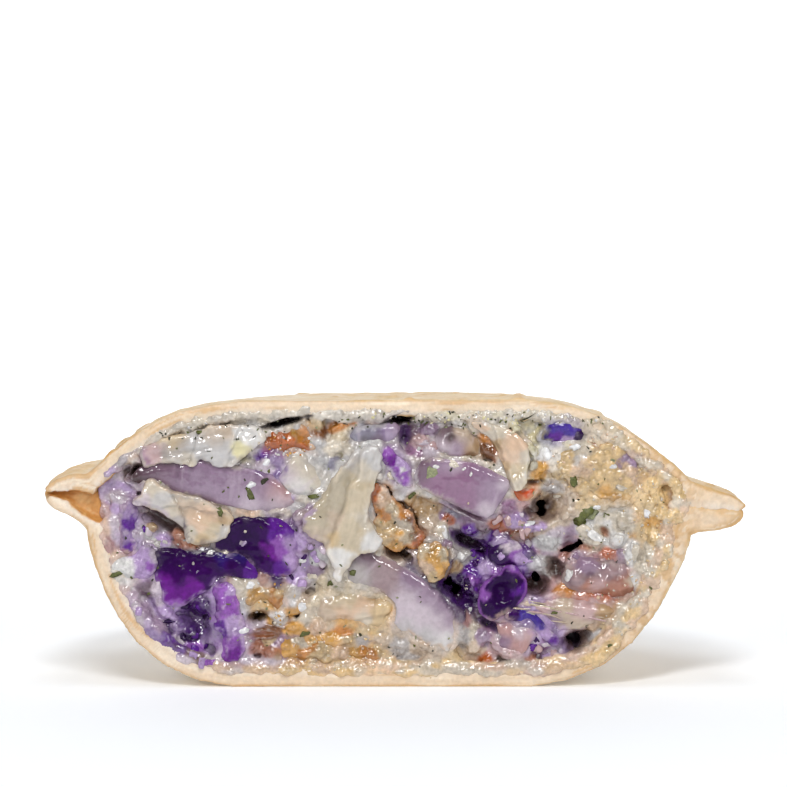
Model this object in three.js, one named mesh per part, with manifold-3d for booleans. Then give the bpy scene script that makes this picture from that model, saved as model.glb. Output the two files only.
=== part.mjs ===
// Half of a round kebab pie, cut through the middle and standing on its base, in millimetres with +Z up.
//
// Two sheets of pastry are pinched together at a rim: a base that holds the filling like a bowl, and a
// domed lid. The knife's cut is the plane Y = 0 in front, and it opens the filling: a mass of creamy
// chicken with the large pieces of onion, red cabbage and chicken seated in it, each a solid of its own.
// The pie is modelled about its own axis. The finished group's origin is the middle of its footprint.
import * as THREE from "three";
import { mergeVertices } from "three/addons/utils/BufferGeometryUtils.js";
import Module from "manifold-3d";

const wasm = await Module();
wasm.setup();

// Driving dimensions of the pie
const RIM_RADIUS = 57.5; // to the tip of the pinched rim
const WALL_RADIUS = 49.4; // outside of the wall, just under the rim
const FOOT_RADIUS = 25; // flat part of the underside
const PIE_HEIGHT = 47.2;
const SEAM_HEIGHT = 30.6; // where the two sheets meet in the rim
const BASE_PASTRY = 3.2; // thickness of the two rolled sheets
const LID_PASTRY = 2.3;
const GAP = 0.3; // clearance between neighbouring pieces
const BED_GROWTH = 1.5; // a bed's vertices move this much further, so that its corners keep the clearance too
const AROUND = 48; // steps round the whole pie
const AROUND_INSIDE = 36; // and round the space inside it
const ALONG_WALL = 8; // steps along a rounded wall

// How far the baked crust strays from a true round
const RIM_TILT = 1.6; // the left of the rim sits higher than the right
const BODY_SHIFT = -1.5; // and the body sits a little to the left within it
const RIM_WAVE = 0.55;
const ROUNDNESS = 0.5;
const DOME_WAVE = 0.45;
const MOUTH_GAPE = 3.4; // the seam has opened at the left end of the cut
const MOUTH_REACH = 0.26; // how far round the rim it stays open, in radians

// The cut face of the filling
const FACE_DEPTH = 1.9; // mean depth behind the plane of the cut
const FACE_RELIEF = 1.1;
const RELIEF_SPACING = 4.2;
const FACE_COLUMNS = 22;
const FACE_ROWS = 10;
const CRUMB_COUNT = 12;
const CRUMB_SIZE = [3.4, 6.8];
const CRUMB_SPREAD_X = [-42, 42];
const CRUMB_SPREAD_Z = [5, 43];
const CRUMB_FRONT = 0.4; // behind the cut, as for the pieces
const HOLLOW_FRONT = -1;
const SEED = 7;

const COLOURS = {
  pastry: 0xe6c390,
  sauce: 0xd2c9b6,
  onion: 0xa68ba6,
  paleOnion: 0xd6cfc4,
  cabbage: 0x54207c,
  chicken: 0xcbb596,
  browned: 0xb87f48,
  pepper: 0xc75f2c,
};

// Small helpers

function randomFrom(seed) {
  let state = seed;
  return () => {
    state = (state * 16807) % 2147483647;
    return state / 2147483647;
  };
}

const between = (random, [low, high]) => low + (high - low) * random();
const ease = (low, high, x) => THREE.MathUtils.smoothstep(x, low, high);

// A smooth field of bumps about one unit high, repeating only over a long way.
function bumps(x, y, z, size) {
  const [u, v, w] = [x / size, y / size, z / size];
  return (
    (Math.sin(2.1 * u + 1.3 * w + 0.4) +
      Math.sin(1.7 * v - 2.3 * u + 1.9) +
      Math.sin(2.6 * w + 1.1 * v - 0.8) +
      0.7 * Math.sin(4.3 * u - 3.7 * w + 2.2)) /
    2.4
  );
}

// Solids: a closed geometry to and from a form that can be joined and cut

function welded(geometry) {
  const bare = geometry.clone();
  bare.deleteAttribute("normal");
  bare.deleteAttribute("uv");
  return mergeVertices(bare, 1e-4);
}

function solidOf(geometry) {
  const merged = welded(geometry);
  return new wasm.Manifold(
    new wasm.Mesh({
      numProp: 3,
      vertProperties: new Float32Array(merged.attributes.position.array),
      triVerts: new Uint32Array(merged.index.array),
    }),
  );
}

function geometryOf(solid) {
  const mesh = solid.getMesh();
  const geometry = new THREE.BufferGeometry();
  geometry.setAttribute(
    "position",
    new THREE.BufferAttribute(new Float32Array(mesh.vertProperties), 3),
  );
  geometry.setIndex(new THREE.BufferAttribute(new Uint32Array(mesh.triVerts), 1));
  const faceted = geometry.toNonIndexed();
  faceted.computeVertexNormals();
  return faceted;
}

// Cutting can leave scraps: only the largest body is kept.
function largestOf(solid) {
  return solid.decompose().sort((a, b) => b.volume() - a.volume())[0];
}

function moveVertices(geometry, move) {
  const positions = geometry.attributes.position;
  const point = new THREE.Vector3();
  for (let i = 0; i < positions.count; i++) {
    point.fromBufferAttribute(positions, i);
    move(point, i);
    positions.setXYZ(i, point.x, point.y, point.z);
  }
  return geometry;
}

// The same closed shape with every vertex moved outwards.
function grownBy(geometry, distance) {
  const merged = welded(geometry);
  merged.computeVertexNormals();
  const normal = new THREE.Vector3();
  return moveVertices(merged, (point, i) => {
    normal.fromBufferAttribute(merged.attributes.normal, i);
    point.addScaledVector(normal, distance);
  });
}

// Pastry: profiles of [radius, height, how far it moves where the mouth gapes]

const curvePoints = (points, steps) =>
  new THREE.SplineCurve(points.map(([r, z]) => new THREE.Vector2(r, z))).getPoints(steps);

// The base's outside from the foot up to the root of the rim.
const baseWall = curvePoints(
  [
    [FOOT_RADIUS, 0],
    [33.8, 2.3],
    [41.4, 8.1],
    [45.8, 15.2],
    [48.4, 21.6],
    [WALL_RADIUS, 26],
  ],
  ALONG_WALL,
);

// The lid's outside from the root of the rim up to the flat of the dome.
const lidWall = curvePoints(
  [
    [WALL_RADIUS, 34.4],
    [46.4, 37],
    [40.3, 41.7],
    [33.5, 45.1],
    [23, PIE_HEIGHT - 0.3],
  ],
  ALONG_WALL,
);

// A curve moved inwards, to the left of its own direction.
function inset(points, distance) {
  return points.map((point, i) => {
    const before = points[Math.max(i - 1, 0)];
    const after = points[Math.min(i + 1, points.length - 1)];
    const along = after.clone().sub(before).normalize();
    return new THREE.Vector2(point.x - along.y * distance, point.y + along.x * distance);
  });
}

const plain = (points) => points.map((p) => [p.x, p.y, 0]);

function baseProfile() {
  const inside = plain(inset(baseWall, BASE_PASTRY)).reverse();
  const seam = SEAM_HEIGHT - GAP / 2;
  return [
    [0, 0, 0],
    ...plain(baseWall),
    [52.6, 26.7, 0.1],
    [55.6, 28, 0],
    [RIM_RADIUS - 0.3, 29.5, 0],
    [RIM_RADIUS - 1.1, seam, 0],
    [54.4, seam, -0.35],
    [52, seam, -0.75],
    [49.4, seam, -1],
    [47.6, seam, -1.1],
    ...inside,
    [0, BASE_PASTRY, 0],
  ];
}

function lidProfile() {
  const inside = plain(inset(lidWall, LID_PASTRY)).reverse();
  const seam = SEAM_HEIGHT + GAP / 2;
  return [
    [0, PIE_HEIGHT - LID_PASTRY, 0],
    ...inside,
    [47.6, seam, 0.2],
    [51.5, seam, 0.3],
    [RIM_RADIUS - 1, seam, 0],
    [RIM_RADIUS, 31.4, 0],
    [55.4, 32.7, 0.1],
    [52.2, 33.5, 0.2],
    ...plain(lidWall),
    [0, PIE_HEIGHT, 0],
  ];
}

// The space inside the crust, clear of it all round.
function cavityProfile() {
  return [
    [0, BASE_PASTRY + GAP, 0],
    ...plain(inset(baseWall, BASE_PASTRY + GAP)),
    ...plain(inset(lidWall, LID_PASTRY + GAP)),
    [0, PIE_HEIGHT - LID_PASTRY - GAP, 0],
  ];
}

// A profile turned round the pie's axis, with the crust's unevenness worked into it.
function revolve(profile, around) {
  const points = profile.map(([r, z]) => new THREE.Vector2(r, z));
  const turned = new THREE.LatheGeometry(points, around).rotateX(Math.PI / 2);
  return moveVertices(turned, (point, i) => {
    const [radius, height, gapes] = profile[i % profile.length];
    const angle = Math.atan2(point.y, point.x); // 0 at the cut's right end, pi at its left
    const atRim = ease(44, 56, radius);
    const onDome = ease(5, 26, radius) * ease(SEAM_HEIGHT, PIE_HEIGHT, height);
    const offRound = ROUNDNESS * Math.sin(3 * angle + 0.9) * ease(FOOT_RADIUS, 46, radius);
    const turnFromMouth = (Math.PI - Math.abs(angle)) / MOUTH_REACH;
    const spread = radius > 0 ? (radius + offRound) / radius : 1;
    point.x = point.x * spread + BODY_SHIFT * (1 - atRim);
    point.y *= spread;
    point.z += atRim * (RIM_WAVE * Math.sin(5 * angle + 0.6) - RIM_TILT * Math.cos(angle));
    point.z += onDome * DOME_WAVE * Math.sin(2 * angle + 1.1);
    point.z += gapes * MOUTH_GAPE * Math.exp(-turnFromMouth * turnFromMouth);
  });
}

const inFrontOfCut = solidOf(
  new THREE.BoxGeometry(4 * RIM_RADIUS, 2 * RIM_RADIUS, 4 * PIE_HEIGHT).translate(0, -RIM_RADIUS, 0),
);
const cavity = solidOf(revolve(cavityProfile(), AROUND_INSIDE));

const pastry = {
  pastry_base: solidOf(revolve(baseProfile(), AROUND)).subtract(inFrontOfCut),
  pastry_lid: solidOf(revolve(lidProfile(), AROUND)).subtract(inFrontOfCut),
};

// Pieces of filling. Each maker takes a size [length, depth, height] along X, Y and Z.

// A slice of an onion layer, or a strip: a bar that bows upwards, narrows to its right and has slanted ends.
const SLAB_CORNER = 0.1; // how much the corners are drawn in
const SLAB_ROUNDING = 0.12; // how much the front and back round off towards the edges

function slab([length, depth, height], { bow = 0, taper = 0, slant = 0 }) {
  const bar = new THREE.BoxGeometry(length, depth, height, 5, 1, 2);
  return moveVertices(bar, (point) => {
    const along = (2 * point.x) / length;
    const across = (2 * point.z) / height;
    const inwards = point.y < 0 ? 1 : -1;
    point.x = point.x * (1 - SLAB_CORNER * across * across * along * along) + slant * across;
    point.y += inwards * SLAB_ROUNDING * depth * (along * along + across * across);
    point.z = point.z * (1 - (taper * (along + 1)) / 2) + bow * (1 - along * along);
  });
}

// A leaf of cabbage: a thin sheet, hollow towards the front where cup is positive, with a wavy edge.
const LEAF_ROUNDING = 0.32; // how far the square outline is rounded
const LEAF_WAVES = 4; // round the edge

function leaf([width, thickness, height], { cup = 0, ruffle = 0 }) {
  const sheet = new THREE.BoxGeometry(width, thickness, height, 6, 1, 5);
  return moveVertices(sheet, (point) => {
    const u = (2 * point.x) / width;
    const v = (2 * point.z) / height;
    const fromMiddle = u * u + v * v;
    point.x *= Math.sqrt(1 - LEAF_ROUNDING * v * v);
    point.z *= Math.sqrt(1 - LEAF_ROUNDING * u * u);
    point.y += cup * (1 - fromMiddle) + ruffle * fromMiddle * Math.sin(LEAF_WAVES * Math.atan2(v, u));
  });
}

// A chunk of meat or a knob: a ball with a lumpy surface.
const LUMP_SPACING = 0.42; // of the ball's diameter

function chunk([length, depth, height], { lumpy = 0.16, seed = 1, detail = 1 }) {
  const ball = new THREE.IcosahedronGeometry(0.5, detail);
  return moveVertices(ball, (point) => {
    point.multiplyScalar(1 + lumpy * bumps(point.x + seed, point.y, point.z - seed, LUMP_SPACING));
    point.set(point.x * length, point.y * depth, point.z * height);
  });
}

// A torn flake of meat: a thin sheet with a ragged outline, widest above its middle and narrow at its foot.
const FLAKE_NARROWING = 0.6;
const FLAKE_BELLY = 0.36;
const TEAR_SPACING = 2.2;

function flake([width, depth, height], { ragged = 0.9, curl = 0, seed = 1 }) {
  const sheet = new THREE.BoxGeometry(width, depth, height, 3, 1, 6);
  return moveVertices(sheet, (point) => {
    const down = 0.5 - point.z / height;
    const side = (2 * point.x) / width;
    const tear = ragged * bumps(seed, point.z, side * seed, TEAR_SPACING);
    const belly = 1 + FLAKE_BELLY * (Math.sin((Math.PI * (1 + 2 * down)) / 4) - 0.5);
    point.x = point.x * (1 - FLAKE_NARROWING * down * down) * belly + tear * Math.abs(side);
    point.y += curl * side * side;
    point.z += (tear / 2) * Math.abs(1 - 2 * down);
  });
}

// Where each large piece sits in the cut face, the foremost first. at is [x, z] of its middle, front is how
// far its face stands behind the cut (negative where it bulges out), and turn is its slope in degrees.
const PIECES = {
  chicken_flake_centre: {
    make: flake, colour: "chicken", at: [-7.6, 27.4], size: [11, 4, 20.5], front: -1.8, turn: 8,
    shape: { curl: 0.9, seed: 3 },
  },
  chicken_knob: {
    make: chunk, colour: "browned", at: [6.1, 20], size: [4.9, 6, 5.6], front: -1.9, turn: 0,
    shape: { lumpy: 0.06 },
  },
  chicken_browned: {
    make: chunk, colour: "browned", at: [0.9, 27.2], size: [8, 6, 13.5], front: -1.2, turn: 32,
    shape: { lumpy: 0.2, seed: 4 },
  },
  onion_slab_right: {
    make: slab, colour: "onion", at: [11.2, 32.6], size: [16.4, 4.6, 7], front: -1.3, turn: -24,
    shape: { slant: 0.8 },
  },
  cabbage_cup: {
    make: leaf, colour: "cabbage", at: [17.6, 15.6], size: [8.6, 2.4, 9.2], front: -0.6, turn: -28,
    shape: { cup: 2.2 },
  },
  cabbage_leaf_lower: {
    make: leaf, colour: "cabbage", at: [-31.6, 18.2], size: [19.5, 1.8, 11], front: 0.2, turn: -5,
    shape: { cup: -1.7, ruffle: 0.3 },
  },
  chicken_flake_left: {
    make: flake, colour: "chicken", at: [-33.6, 28.4], size: [6.4, 3.2, 17], front: -0.9, turn: 68,
    shape: { ragged: 0.7, seed: 6 },
  },
  onion_wedge: {
    make: slab, colour: "onion", at: [2, 13.4], size: [19, 5, 8.4], front: -0.9, turn: -38,
    shape: { bow: 2.2, taper: 0.35, slant: 1 },
  },
  chicken_strip: {
    make: slab, colour: "chicken", at: [18, 37.7], size: [12.6, 4, 4.8], front: -0.9, turn: -58,
    shape: { bow: 0.7, taper: 0.3 },
  },
  cabbage_shred: {
    make: slab, colour: "cabbage", at: [0.9, 36.2], size: [8.4, 3, 3.6], front: -0.7, turn: -60,
    shape: { taper: 0.3 },
  },
  cabbage_rib: {
    make: slab, colour: "cabbage", at: [-29, 10.4], size: [12.6, 4.6, 4.6], front: -0.4, turn: -84,
    shape: { bow: 0.5 },
  },
  cabbage_root: {
    make: slab, colour: "cabbage", at: [-42.2, 18.4], size: [6.6, 4, 6], front: -0.3, turn: 24,
    shape: { slant: 0.4 },
  },
  onion_bit_right: {
    make: slab, colour: "onion", at: [19.6, 7.9], size: [5.6, 3, 4.6], front: -0.8, turn: -18,
    shape: { slant: 0.7 },
  },
  cabbage_strip_right: {
    make: slab, colour: "cabbage", at: [23.4, 10.4], size: [11, 3, 2.4], front: -0.4, turn: -36,
    shape: { bow: 1.5, taper: 0.2 },
  },
  chicken_fibre: {
    make: chunk, colour: "chicken", at: [27.4, 13.6], size: [15, 6, 5.2], front: -0.3, turn: -6,
    shape: { lumpy: 0.08, seed: 2 },
  },
  cabbage_knot: {
    make: chunk, colour: "cabbage", at: [18.6, 21], size: [8.6, 5, 5], front: 0, turn: -20,
    shape: { lumpy: 0.24, seed: 5 },
  },
  pepper_bit: {
    make: slab, colour: "pepper", at: [21.9, 31.4], size: [3.8, 3, 3.4], front: -0.4, turn: 14,
    shape: { slant: 0.5 },
  },
  cabbage_chunk_right: {
    make: slab, colour: "cabbage", at: [27.8, 41.2], size: [7, 4, 4.2], front: -0.3, turn: 3,
    shape: { slant: 0.6 },
  },
  chicken_crumb_right: {
    make: chunk, colour: "chicken", at: [33.4, 35.6], size: [13.5, 7, 9.6], front: 0, turn: -30,
    shape: { lumpy: 0.14, seed: 8 },
  },
  cabbage_leaf_upper: {
    make: leaf, colour: "cabbage", at: [-22.6, 23.4], size: [15.4, 1.8, 12.6], front: 0, turn: -8,
    shape: { cup: 2, ruffle: 0.5 },
  },
  cabbage_strip_left: {
    make: slab, colour: "cabbage", at: [-43.4, 26.4], size: [10.4, 3.4, 2.8], front: 0.3, turn: 84,
    shape: { bow: 0.3 },
  },
  chicken_sheet: {
    make: slab, colour: "chicken", at: [-30.4, 39.8], size: [19, 3, 5.6], front: -0.1, turn: 16,
    shape: { bow: 0.4, taper: 0.2 },
  },
  onion_slab_left: {
    make: slab, colour: "onion", at: [-28.8, 33.4], size: [27.5, 4.6, 7.6], front: 0.9, turn: -7,
    shape: { bow: 0.9 },
  },
  onion_pale: {
    make: slab, colour: "paleOnion", at: [-15.2, 34.4], size: [7.8, 4, 7.2], front: -0.2, turn: 28,
    shape: { slant: 0.6 },
  },
  chicken_pale_low: {
    make: chunk, colour: "chicken", at: [-10, 12.4], size: [16.5, 7, 8.6], front: -0.2, turn: -4,
    shape: { lumpy: 0.12, seed: 9 },
  },
  chicken_browned_low: {
    make: chunk, colour: "browned", at: [-10, 6.7], size: [18, 6, 4.8], front: 0.4, turn: -3,
    shape: { lumpy: 0.14, seed: 11 },
  },
  chicken_bit_left: {
    make: chunk, colour: "chicken", at: [-22.6, 13.4], size: [7.6, 6, 8], front: -0.1, turn: 0,
    shape: { lumpy: 0.22, seed: 12 },
  },
  chicken_pink: {
    make: chunk, colour: "chicken", at: [33.6, 18.4], size: [14, 7, 7], front: 1, turn: 8,
    shape: { lumpy: 0.2, seed: 13 },
  },
  chicken_top: {
    make: chunk, colour: "browned", at: [-17, 39.4], size: [10, 5, 4.6], front: 0.8, turn: 4,
    shape: { lumpy: 0.2, seed: 14 },
  },
  onion_grey: {
    make: chunk, colour: "onion", at: [-3.2, 40.4], size: [9, 5, 4.2], front: 0.9, turn: 16,
    shape: { lumpy: 0.2, seed: 15 },
  },
  onion_soft: {
    make: chunk, colour: "onion", at: [10.6, 38.9], size: [8.4, 5, 6.4], front: 0.6, turn: 10,
    shape: { lumpy: 0.18, seed: 16 },
  },
};

// Hollows in the filling where a piece has pulled out or steam has left a hole.
const HOLLOWS = [
  { at: [-23.4, 24], size: [12.6, 7, 8.6], turn: -8 },
  { at: [24.6, 29.4], size: [3.8, 16, 4] },
  { at: [29.4, 23.4], size: [7.2, 14, 3.4], turn: 24 },
  { at: [23.4, 18], size: [3.4, 14, 3], turn: 0 },
  { at: [29.8, 7.7], size: [3.8, 9, 4] },
  { at: [-19.4, 42.6], size: [8.4, 14, 2.2], turn: 14 },
  { at: [2.6, 42.2], size: [5.6, 14, 3.8], turn: -10 },
  { at: [-41.4, 34.4], size: [4, 12, 4] },
  { at: [-34.4, 11.2], size: [5.4, 14, 7], turn: 24 },
  { at: [9.6, 16.8], size: [7, 14, 3.4], turn: -42 },
];

function placed({ make, at, size, front, turn = 0, shape = {} }) {
  const geometry = make(size, shape);
  geometry.rotateY(THREE.MathUtils.degToRad(-turn));
  geometry.computeBoundingBox();
  return geometry.translate(at[0], front - geometry.boundingBox.min.y, at[1]);
}

// The pieces, each cut back from those in front of it, and the beds that they all need: their own shapes
// grown by the clearance.
function fillingPieces() {
  const made = {};
  let beds = null;
  for (const [name, piece] of Object.entries(PIECES)) {
    const shape = placed(piece);
    let solid = solidOf(shape).intersect(cavity);
    if (beds) solid = solid.subtract(beds);
    made[name] = largestOf(solid);
    const bed = solidOf(grownBy(shape, BED_GROWTH * GAP));
    beds = beds ? beds.add(bed) : bed;
  }
  return { made, beds };
}

// The creamy mass that everything is bedded in, from the cut to the back wall: a block with a rough face,
// crumbs of meat fused on to it, hollows, and a bed for every piece.
function fillingCore(beds) {
  const random = randomFrom(SEED);
  const [across, deep] = [2 * WALL_RADIUS, 2 * WALL_RADIUS];
  const block = new THREE.BoxGeometry(across, deep, PIE_HEIGHT, FACE_COLUMNS, 1, FACE_ROWS);
  block.translate(0, deep / 2, PIE_HEIGHT / 2);
  moveVertices(block, (point) => {
    if (point.y > FACE_DEPTH) return;
    point.y = FACE_DEPTH + FACE_RELIEF * bumps(point.x, 0, point.z, RELIEF_SPACING);
  });
  let mass = solidOf(block);
  for (let i = 0; i < CRUMB_COUNT; i++) {
    const at = [between(random, CRUMB_SPREAD_X), between(random, CRUMB_SPREAD_Z)];
    const size = [0, 1, 2].map(() => between(random, CRUMB_SIZE));
    const crumb = { make: chunk, at, size, front: CRUMB_FRONT, turn: 360 * random() };
    mass = mass.add(solidOf(placed({ ...crumb, shape: { seed: i, detail: 0 } })));
  }
  for (const hollow of HOLLOWS) {
    mass = mass.subtract(solidOf(placed({ make: chunk, front: HOLLOW_FRONT, ...hollow })));
  }
  return largestOf(mass.intersect(cavity).subtract(beds));
}

// The scene graph

function meshOf(name, solid, colour, roughness) {
  const geometry = geometryOf(solid);
  geometry.computeBoundingBox();
  const middle = geometry.boundingBox.getCenter(new THREE.Vector3());
  geometry.translate(-middle.x, -middle.y, -middle.z);
  const material = new THREE.MeshStandardMaterial({ color: colour, roughness, metalness: 0 });
  const mesh = new THREE.Mesh(geometry, material);
  mesh.name = name;
  mesh.position.copy(middle);
  return mesh;
}

const crust = new THREE.Group();
for (const [name, solid] of Object.entries(pastry)) {
  crust.add(meshOf(name, solid, COLOURS.pastry, 0.7));
}

const filling = new THREE.Group();
const { made, beds } = fillingPieces();
filling.add(meshOf("filling_core", fillingCore(beds), COLOURS.sauce, 0.45));
for (const [name, solid] of Object.entries(made)) {
  filling.add(meshOf(name, solid, COLOURS[PIECES[name].colour], 0.35));
}

const pie = new THREE.Group();
pie.add(crust, filling);
const bounds = new THREE.Box3().setFromObject(pie);
const footprint = bounds.getCenter(new THREE.Vector3());
pie.position.set(-footprint.x, -footprint.y, -bounds.min.z);

export default pie;
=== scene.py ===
"""The looks of half a kebab pie: baked pastry, creamy filling, and the pieces of onion, cabbage and chicken.

The pastry and the creamy mass start from the solids that they replace. Every large piece of the filling is
a slab with the outline that it shows in the cut, as deep as the solid that it replaces. All of them are
remeshed finely, given the relief of their stuff and coloured point by point. Small things are scattered over
the cut face as joined meshes. Lengths are in millimetres until a mesh is finished.
"""
import itertools
import math
from collections import namedtuple

import bmesh
import bpy
import numpy as np
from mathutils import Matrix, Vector
from mathutils.bvhtree import BVHTree
from mathutils.geometry import tessellate_polygon
from mathutils.kdtree import KDTree


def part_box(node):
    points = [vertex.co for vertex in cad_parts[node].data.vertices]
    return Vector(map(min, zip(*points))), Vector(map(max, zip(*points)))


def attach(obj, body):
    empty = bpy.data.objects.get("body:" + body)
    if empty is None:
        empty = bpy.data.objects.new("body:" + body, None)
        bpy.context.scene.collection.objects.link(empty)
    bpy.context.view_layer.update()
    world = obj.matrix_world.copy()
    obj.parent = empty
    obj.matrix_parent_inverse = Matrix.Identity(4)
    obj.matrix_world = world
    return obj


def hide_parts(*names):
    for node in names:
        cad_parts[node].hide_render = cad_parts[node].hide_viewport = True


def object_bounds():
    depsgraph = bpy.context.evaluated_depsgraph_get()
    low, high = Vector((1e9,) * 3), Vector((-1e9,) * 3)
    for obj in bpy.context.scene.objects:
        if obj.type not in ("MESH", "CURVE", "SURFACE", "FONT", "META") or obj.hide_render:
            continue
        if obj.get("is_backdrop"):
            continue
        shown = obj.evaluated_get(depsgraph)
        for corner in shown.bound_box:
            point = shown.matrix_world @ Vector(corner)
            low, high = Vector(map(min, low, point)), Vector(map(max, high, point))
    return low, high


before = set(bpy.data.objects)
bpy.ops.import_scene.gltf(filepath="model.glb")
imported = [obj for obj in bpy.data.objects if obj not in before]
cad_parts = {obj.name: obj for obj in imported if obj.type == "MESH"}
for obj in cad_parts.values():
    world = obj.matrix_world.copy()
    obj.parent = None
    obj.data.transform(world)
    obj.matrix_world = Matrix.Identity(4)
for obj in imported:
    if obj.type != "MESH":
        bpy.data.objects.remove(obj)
cad_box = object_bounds()

MM = 0.001
SEED = 11

# The plane of the cut, and the height of the pie, in millimetres
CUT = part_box("pastry_base")[0].y / MM
PIE_TOP = cad_box[1][2] / MM

# Sizes of the remeshing, and how far behind the cut the finer faces reach
CRUST_VOXEL, CRUST_REACH = 0.58, 1.2
CORE_VOXEL, CORE_REACH = 0.5, 3.5
PIECE_VOXEL = 0.25

TINT = "Tint"  # the points' own colours in each mesh

CRUST_NODES = ("pastry_base", "pastry_lid")
PIECE_NODES = sorted(set(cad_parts) - {"filling_core", *CRUST_NODES})


def srgb(text):
    """A colour as seen on a screen, such as "e6c390", in the linear values that light is worked out with."""
    values = np.array([int(text[i:i + 2], 16) for i in (0, 2, 4)]) / 255
    return np.where(values <= 0.04045, values / 12.92, ((values + 0.055) / 1.055) ** 2.4)


# The filling's colours, the herbs' and the pastry's, by name
COLOUR_CODES = """
white d3d0cd, ivory c7bcab, cream c3b398, silver bbb8b7, grey a8a19d, slate 827e8e, beige bba894,
sand c4ab83, tan ad8f68, peach d0b298, gold c8954a, mustard 98762a, amber bb772d, orange b55c26,
ember c4481a, rust 934a26, clay a06a54, brown 6c4125, umber 38251d, black 100a0d, pale_lilac c2b4bd,
lilac a98fb8, thistle 978196, heather 8a7398, orchid 8a54a4, violet 552180, magenta 641c80, purple 330c4c,
indigo 2b195e, blue_violet 46338a, plum 290c3f, mauve 886f87, rose 8a6481, dusk 69515f, pink bb9c9c,
blush b28884, lemon d2c99a, chalk dedddd, fawn afa28b, fig 957d80, wheat d5b684, leaf 565a28,
pale_leaf 878a66, dark_leaf 2e2d16, dough e4cca6, crust dbb475, toasted c98f4c, blister bf8645,
crust_edge d2aa76, soft_edge e3ccb0, crumb e6d6c4, buttery d0a56e, floury f2e4cf, grain c99a58,
crack a9763a, fried c8873a, honey e2b473
"""
COLOURS = {name: srgb(code) for name, code in (row.split() for row in COLOUR_CODES.split(","))}


def rows(table, numbers):
    """The rows of a drawn table, with commas between them: so many numbers each, then a list of words."""
    for row in table.split(","):
        words = row.split()
        yield *map(float, words[:numbers]), words[numbers:]


def corners_of(outline):
    """The points of a line drawn in the cut face, written as "x,height x,height ..."."""
    return np.array([[float(v) for v in pair.split(",")] for pair in outline.split()])


def ease(low, high, x):
    """A smooth climb from 0 to 1 while x goes from low to high, which may be the smaller one."""
    t = np.clip((x - low) / (high - low), 0, 1)
    return t * t * (3 - 2 * t)


def mix(a, b, amount):
    """Colours a and b mixed point by point."""
    amount = np.asarray(amount)[..., None]
    return np.asarray(a) * (1 - amount) + np.asarray(b) * amount


def tinted(colour, name, amount):
    """A colour mixed with one of the palette."""
    return mix(colour, COLOURS[name], amount)


# Noise on arrays of points

CELLS = 256  # after so many cells the noise repeats
NOISE_APART, GRAINS_APART = 19.37, 7.13  # how many cells two seeds lie apart
_noise_rng = np.random.default_rng(SEED)
_shuffle = np.tile(_noise_rng.permutation(CELLS), 3)
_heights = _noise_rng.uniform(-1, 1, CELLS)
_jitter = _noise_rng.uniform(0.05, 0.95, (CELLS, 3))


def lattice(cell):
    """A number from 0 to 255 for each cell of a lattice, in no visible order."""
    x, y, z = (cell % CELLS).T
    return _shuffle[_shuffle[_shuffle[x] + y] + z]


def noise(points, size, seed=0):
    """Smooth noise from -1 to 1 with bumps of about the given size, which may differ by axis."""
    place = points / np.asarray(size, float) + seed * NOISE_APART
    cell = np.floor(place).astype(np.int64)
    part = place - cell
    part = part * part * (3 - 2 * part)
    total = np.zeros(len(points))
    for step in itertools.product((0, 1), repeat=3):
        weight = np.where(step, part, 1 - part).prod(axis=1)
        total += weight * _heights[lattice(cell + step)]
    return total


def layered(points, size, seed=0, layers=3):
    """Noise with finer and fainter noise added to it."""
    size = np.asarray(size, float)
    return sum(noise(points, size / 2 ** k, seed + k) / 2 ** k for k in range(layers)) / 1.5


def granules(points, size, seed=0):
    """Packed grains: from 0 at their joints to 1 on their backs, and a number from 0 to 1 for each grain."""
    place = points / np.asarray(size, float) + seed * GRAINS_APART
    cell = np.floor(place).astype(np.int64)
    nearest = np.full(len(points), 9.0)
    second = nearest.copy()
    label = np.zeros(len(points), np.int64)
    for step in itertools.product((-1, 0, 1), repeat=3):
        other = cell + step
        key = lattice(other)
        away = np.linalg.norm(other + _jitter[key] - place, axis=1)
        closer = away < nearest
        second = np.where(closer, nearest, np.minimum(second, away))
        label = np.where(closer, key, label)
        nearest = np.where(closer, away, nearest)
    return ease(0, 0.55, second - nearest), label / (CELLS - 1)


# Meshes as arrays

def values_of(items, name, width, kind=float):
    """A row of so many values for each item of a mesh."""
    values = np.empty(len(items) * width, kind)
    items.foreach_get(name, values)
    return values.reshape(-1, width)


def points_of(mesh):
    return values_of(mesh.vertices, "co", 3) / MM


def normals_of(mesh):
    return values_of(mesh.vertex_normals, "vector", 3)


def edges_of(mesh):
    return values_of(mesh.edges, "vertices", 2, np.int64)


def put_points(mesh, points):
    mesh.vertices.foreach_set("co", (points * MM).ravel())
    mesh.update()


def mesh_arrays(mesh):
    """A mesh's points in millimetres, and its triangles."""
    mesh.calc_loop_triangles()
    return points_of(mesh), values_of(mesh.loop_triangles, "vertices", 3, np.int64)


def node_arrays(name):
    return mesh_arrays(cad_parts[name].data)


def joined(parts):
    points = np.concatenate([p for p, _ in parts])
    starts = np.cumsum([0] + [len(p) for p, _ in parts[:-1]])
    faces = np.concatenate([f + start for (_, f), start in zip(parts, starts)])
    return points, faces


def mesh_from(name, points, faces):
    mesh = bpy.data.meshes.new(name)
    mesh.from_pydata((points * MM).tolist(), [], faces.tolist())
    mesh.update()
    return mesh


def put_in_scene(name, data):
    thing = bpy.data.objects.new(name, data)
    bpy.context.scene.collection.objects.link(thing)
    return thing


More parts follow.
